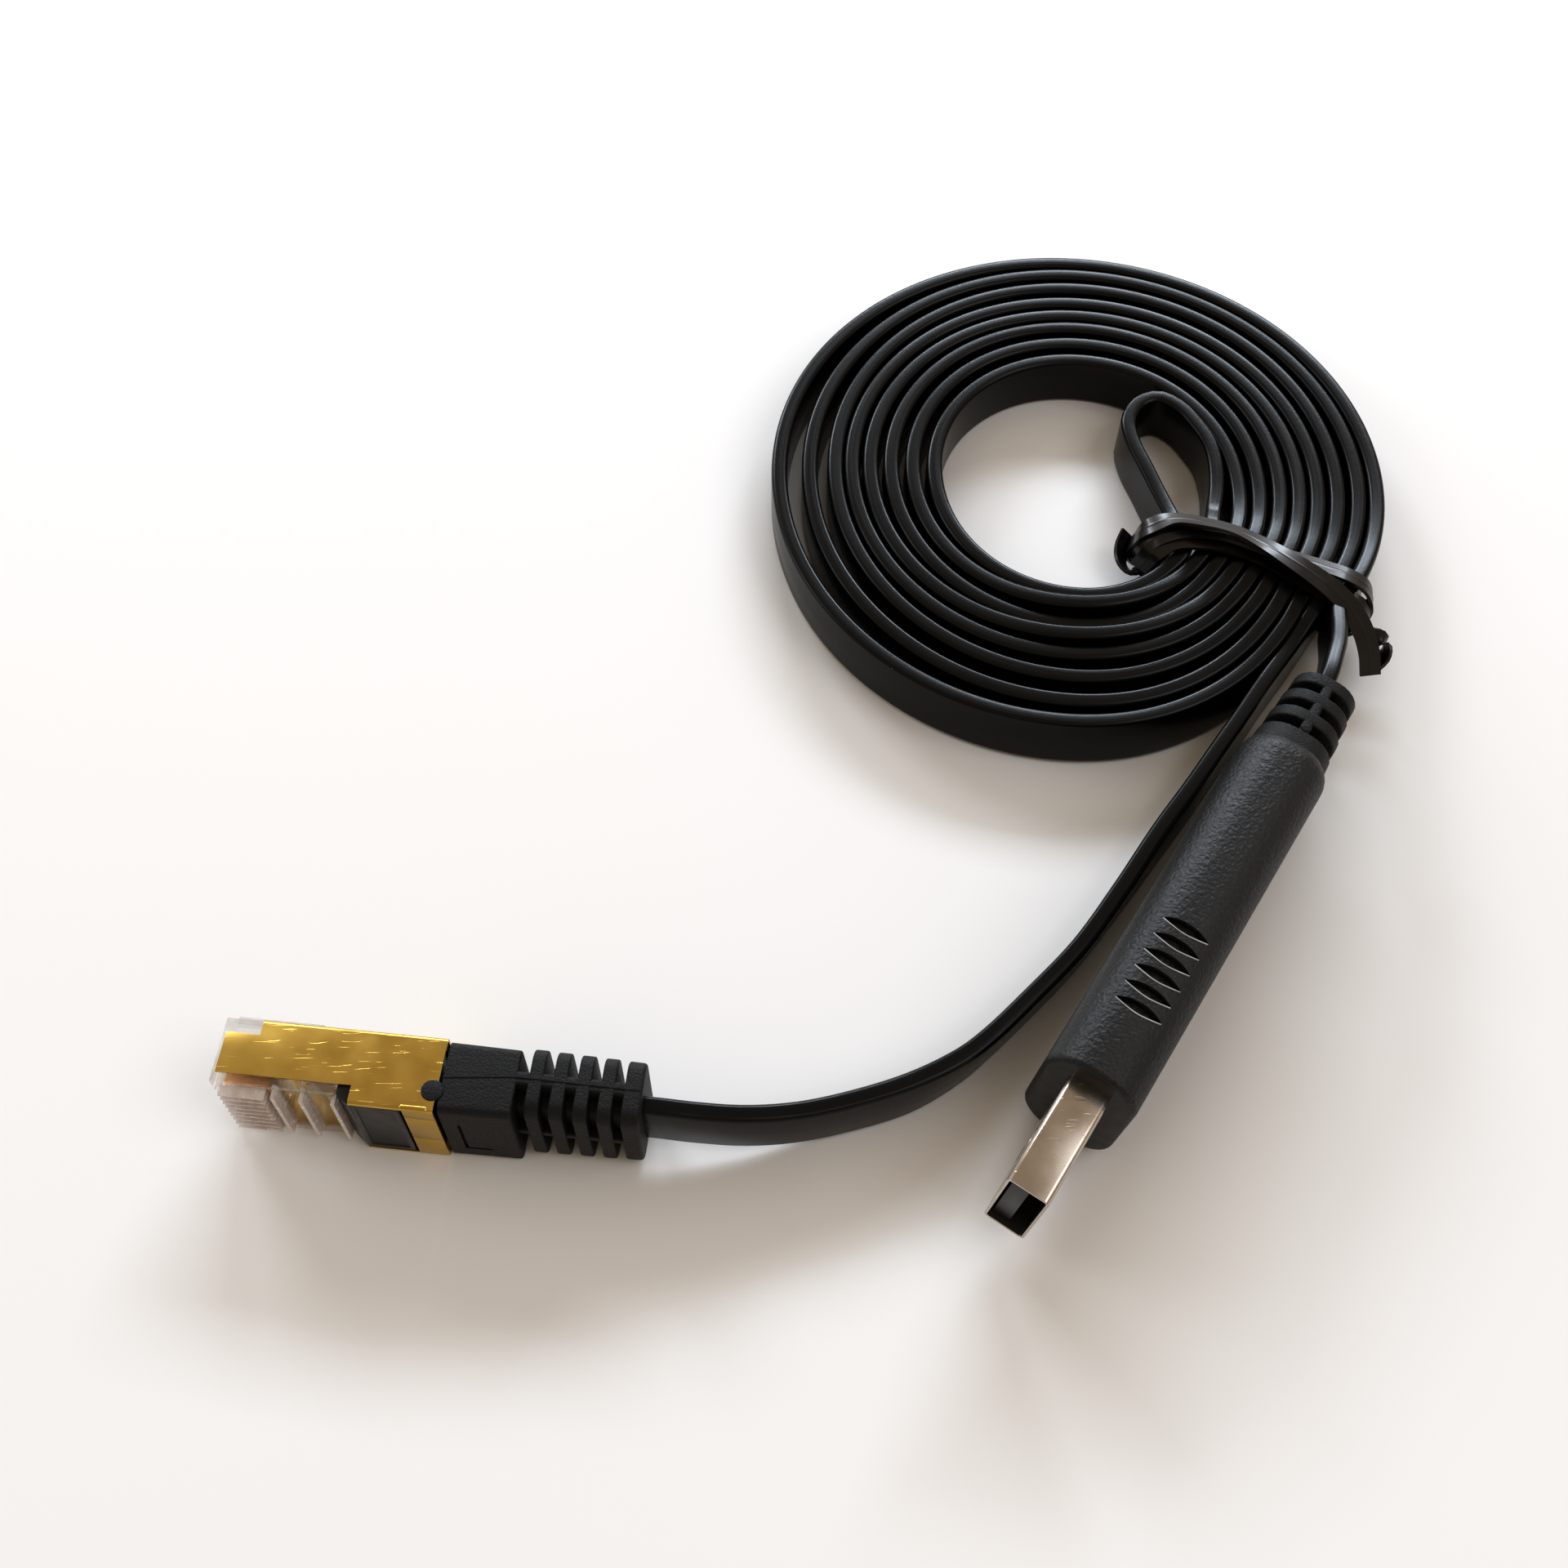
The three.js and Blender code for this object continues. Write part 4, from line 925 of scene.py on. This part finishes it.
def add_network_boot():
    block_part = bar("boot_block", (0.3, BOOT_BLOCK_END), (7.5, PLUG_WIDTH), 0.8, (0.12, 0.3), BOOT,
                     BOOT_TAIL_START)
    recess = [block((1.9, 2.25), (-8, -3.42), (-3.5, 2.5), BOOT),
              block((1.9, 4.6), (-8, -3.42), (-3.5, -3.15), BOOT)]
    carve(block_part, recess)

    def size_at(x):
        part = (x - BOOT_BLOCK_END) / BOOT_TAIL_LENGTH
        return [a + (b - a) * part for a, b in zip(BOOT_TAIL_START, BOOT_TAIL_END)]

    first, last = size_at(FIRST_RIB), size_at(LAST_RIB)
    ribs = bar("ribs", (-0.7, 0.7), first, 1.6, (0.2, 0.2), BOOT)
    row_of(ribs, 4, RIB_PITCH, [b / a for a, b in zip(first, last)])
    ribs.data.transform(Matrix.Translation((FIRST_RIB, BOOT_TAIL_SHIFT, 0)))
    end_ring = bar("end_ring", (18.0, 19.8), size_at(18), 1.6, (0.25, 0.35), BOOT, BOOT_TAIL_END)
    end_ring.data.transform(Matrix.Translation((0, BOOT_TAIL_SHIFT, 0)))
    spine = bar("spine", (7, 19.5), (1.4, PLUG_WIDTH - 0.06), 0.3, (0.1, 0.1), BOOT,
                (1.4, BOOT_TAIL_END[1] - 0.06))
    spine.data.transform(Matrix.Translation((0, BOOT_TAIL_SHIFT, 0)))
    core = bar("core", (7, 19.5), (3.1, 7.6), 1.0, (0.1, 0.1), BOOT)
    web = bar("web", (7, 19.2), (5.6, 0.8), 0.2, (0.1, 0.1), BOOT)
    boot = join("network_strain_relief", [block_part, ribs, end_ring, spine, core, web, parting_line()])
    boot.data.transform(Matrix.Translation((0, 0, PLUG_MIDDLE)))
    ear = disc("ear", (-0.45, -1.7), 1.1, (PLUG_WIDTH - 0.3, PLUG_WIDTH + 0.12), 0.1, BOOT)
    boot = join("network_strain_relief", [boot, ear])
    shade(boot)
    return lay(boot, NETWORK_PLUG, "boot_pvc", "network_boot")


def add_clear_body():
    """The clear body, with the comb of walls between its contact slots and its three cross bars."""
    body = refined("network_plug_body", "clear_body", CLEAR, NETWORK_PLUG)
    comb = block((-21.7, -17.1), (-3.8, -2.5), (-0.08, 0.08), FROSTED)
    comb.data.transform(Matrix.Rotation(math.pi / 2, 4, "Y"))
    row_of(comb, 9, CONTACT_PITCH)
    comb.data.transform(Matrix.Rotation(-math.pi / 2, 4, "Y"))
    comb.data.transform(Matrix.Translation((0, 0, PLUG_MIDDLE - 4 * CONTACT_PITCH)))
    bars = [block((x, x + 0.4), (-3.7, -2.3), (1.4, PLUG_WIDTH - 1.4), FROSTED)
            for x in (-16.4, -13.6, -10.4)]
    body = join("clear_body", [body, comb, *bars])
    return lay(body, NETWORK_PLUG, "clear_plastic", "network_plug_body")


def add_network_contacts():
    blade = block((-21.6, -17.0), (-2.45, 0.15), (-0.175, 0.175), CONTACT)
    soften(blade, 0.06)
    blade.data.transform(Matrix.Rotation(math.pi / 2, 4, "Y"))
    row_of(blade, 8, CONTACT_PITCH)
    blade.data.transform(Matrix.Rotation(-math.pi / 2, 4, "Y"))
    blade.data.transform(Matrix.Translation((0, 0, PLUG_MIDDLE - 3.5 * CONTACT_PITCH)))
    blade.name = "contact_blades"
    shade(blade)
    return lay(blade, NETWORK_PLUG, "gold_contacts", *(f"network_contact_{i}" for i in range(1, 9)))


def dress(node, material):
    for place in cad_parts[node].material_slots:
        place.material = material


# Floor and light

FLOOR_DROP = 0.05


def add_stage():
    floor = make_mesh("floor", [(-4, -4, 0), (4, -4, 0), (4, 4, 0), (-4, 4, 0)], [(0, 1, 2, 3)],
                      new_material("pale_table", Base_Color=colour("#f1f1f1"), Roughness=0.55)[0])
    floor.location.z = -FLOOR_DROP * MM


def add_light(name, place, target, size, power, tone):
    """An area light of `power` watts. Its place, target and size are in metres."""
    data = bpy.data.lights.new(name, "AREA")
    data.shape = "RECTANGLE"
    data.size, data.size_y = size
    data.energy = power
    data.color = colour(tone)[:3]
    light = bpy.data.objects.new(name, data)
    bpy.context.scene.collection.objects.link(light)
    light.location = place
    light.rotation_euler = (Vector(target) - Vector(place)).to_track_quat("-Z", "Y").to_euler()


def add_lights():
    middle = COIL * MM
    add_light("window", middle + Vector((0.45, 2.2, 1.2)), middle, (1.7, 0.45), 53, "#e6f2ff")
    add_light("left_window", middle + Vector((-1.15, 2.0, 1.15)), middle, (0.8, 0.5), 24, "#e9f3ff")
    add_light("side_window", middle + Vector((-1.4, 0.35, 0.7)), middle, (0.6, 0.6), 4, "#e2f0ff")
    add_light("ceiling_light", middle + Vector((0.9, -0.3, 1.3)), middle, (0.9, 0.9), 6, "#f2f6ff")
    world = bpy.data.worlds.new("room")
    world.use_nodes = True
    world.node_tree.nodes["Background"].inputs["Color"].default_value = colour("#ffead0")
    world.node_tree.nodes["Background"].inputs["Strength"].default_value = 0.5
    bpy.context.scene.world = world
    view = bpy.context.scene.view_settings
    view.view_transform = "Standard"
    view.gamma = 0.82


add_camera()
cable, cable_path, cable_length = add_cable()
tie = add_tie()

add_usb_shell()
add_usb_housing()
add_usb_boot()
lay(refined("usb_tongue", "plug_tongue", INSERT, USB_PLUG, 0.08), USB_PLUG, "black_plastic", "usb_tongue")
for i in range(1, 5):
    dress(f"usb_contact_{i}", CONTACT)

add_shield()
add_clear_body()
lay(refined("network_insert", "insert", INSERT, NETWORK_PLUG, 0.1), NETWORK_PLUG, "black_plastic",
    "network_insert")
add_network_boot()
add_network_contacts()
WIRE_ORDER = ("wire_white", "wire_orange", "wire_white", "wire_blue", "wire_white", "wire_green",
              "wire_white", "wire_brown")
for i, wire in enumerate(WIRE_ORDER, 1):
    dress(f"network_wire_{i}", WIRES[wire])

add_stage()
add_lights()
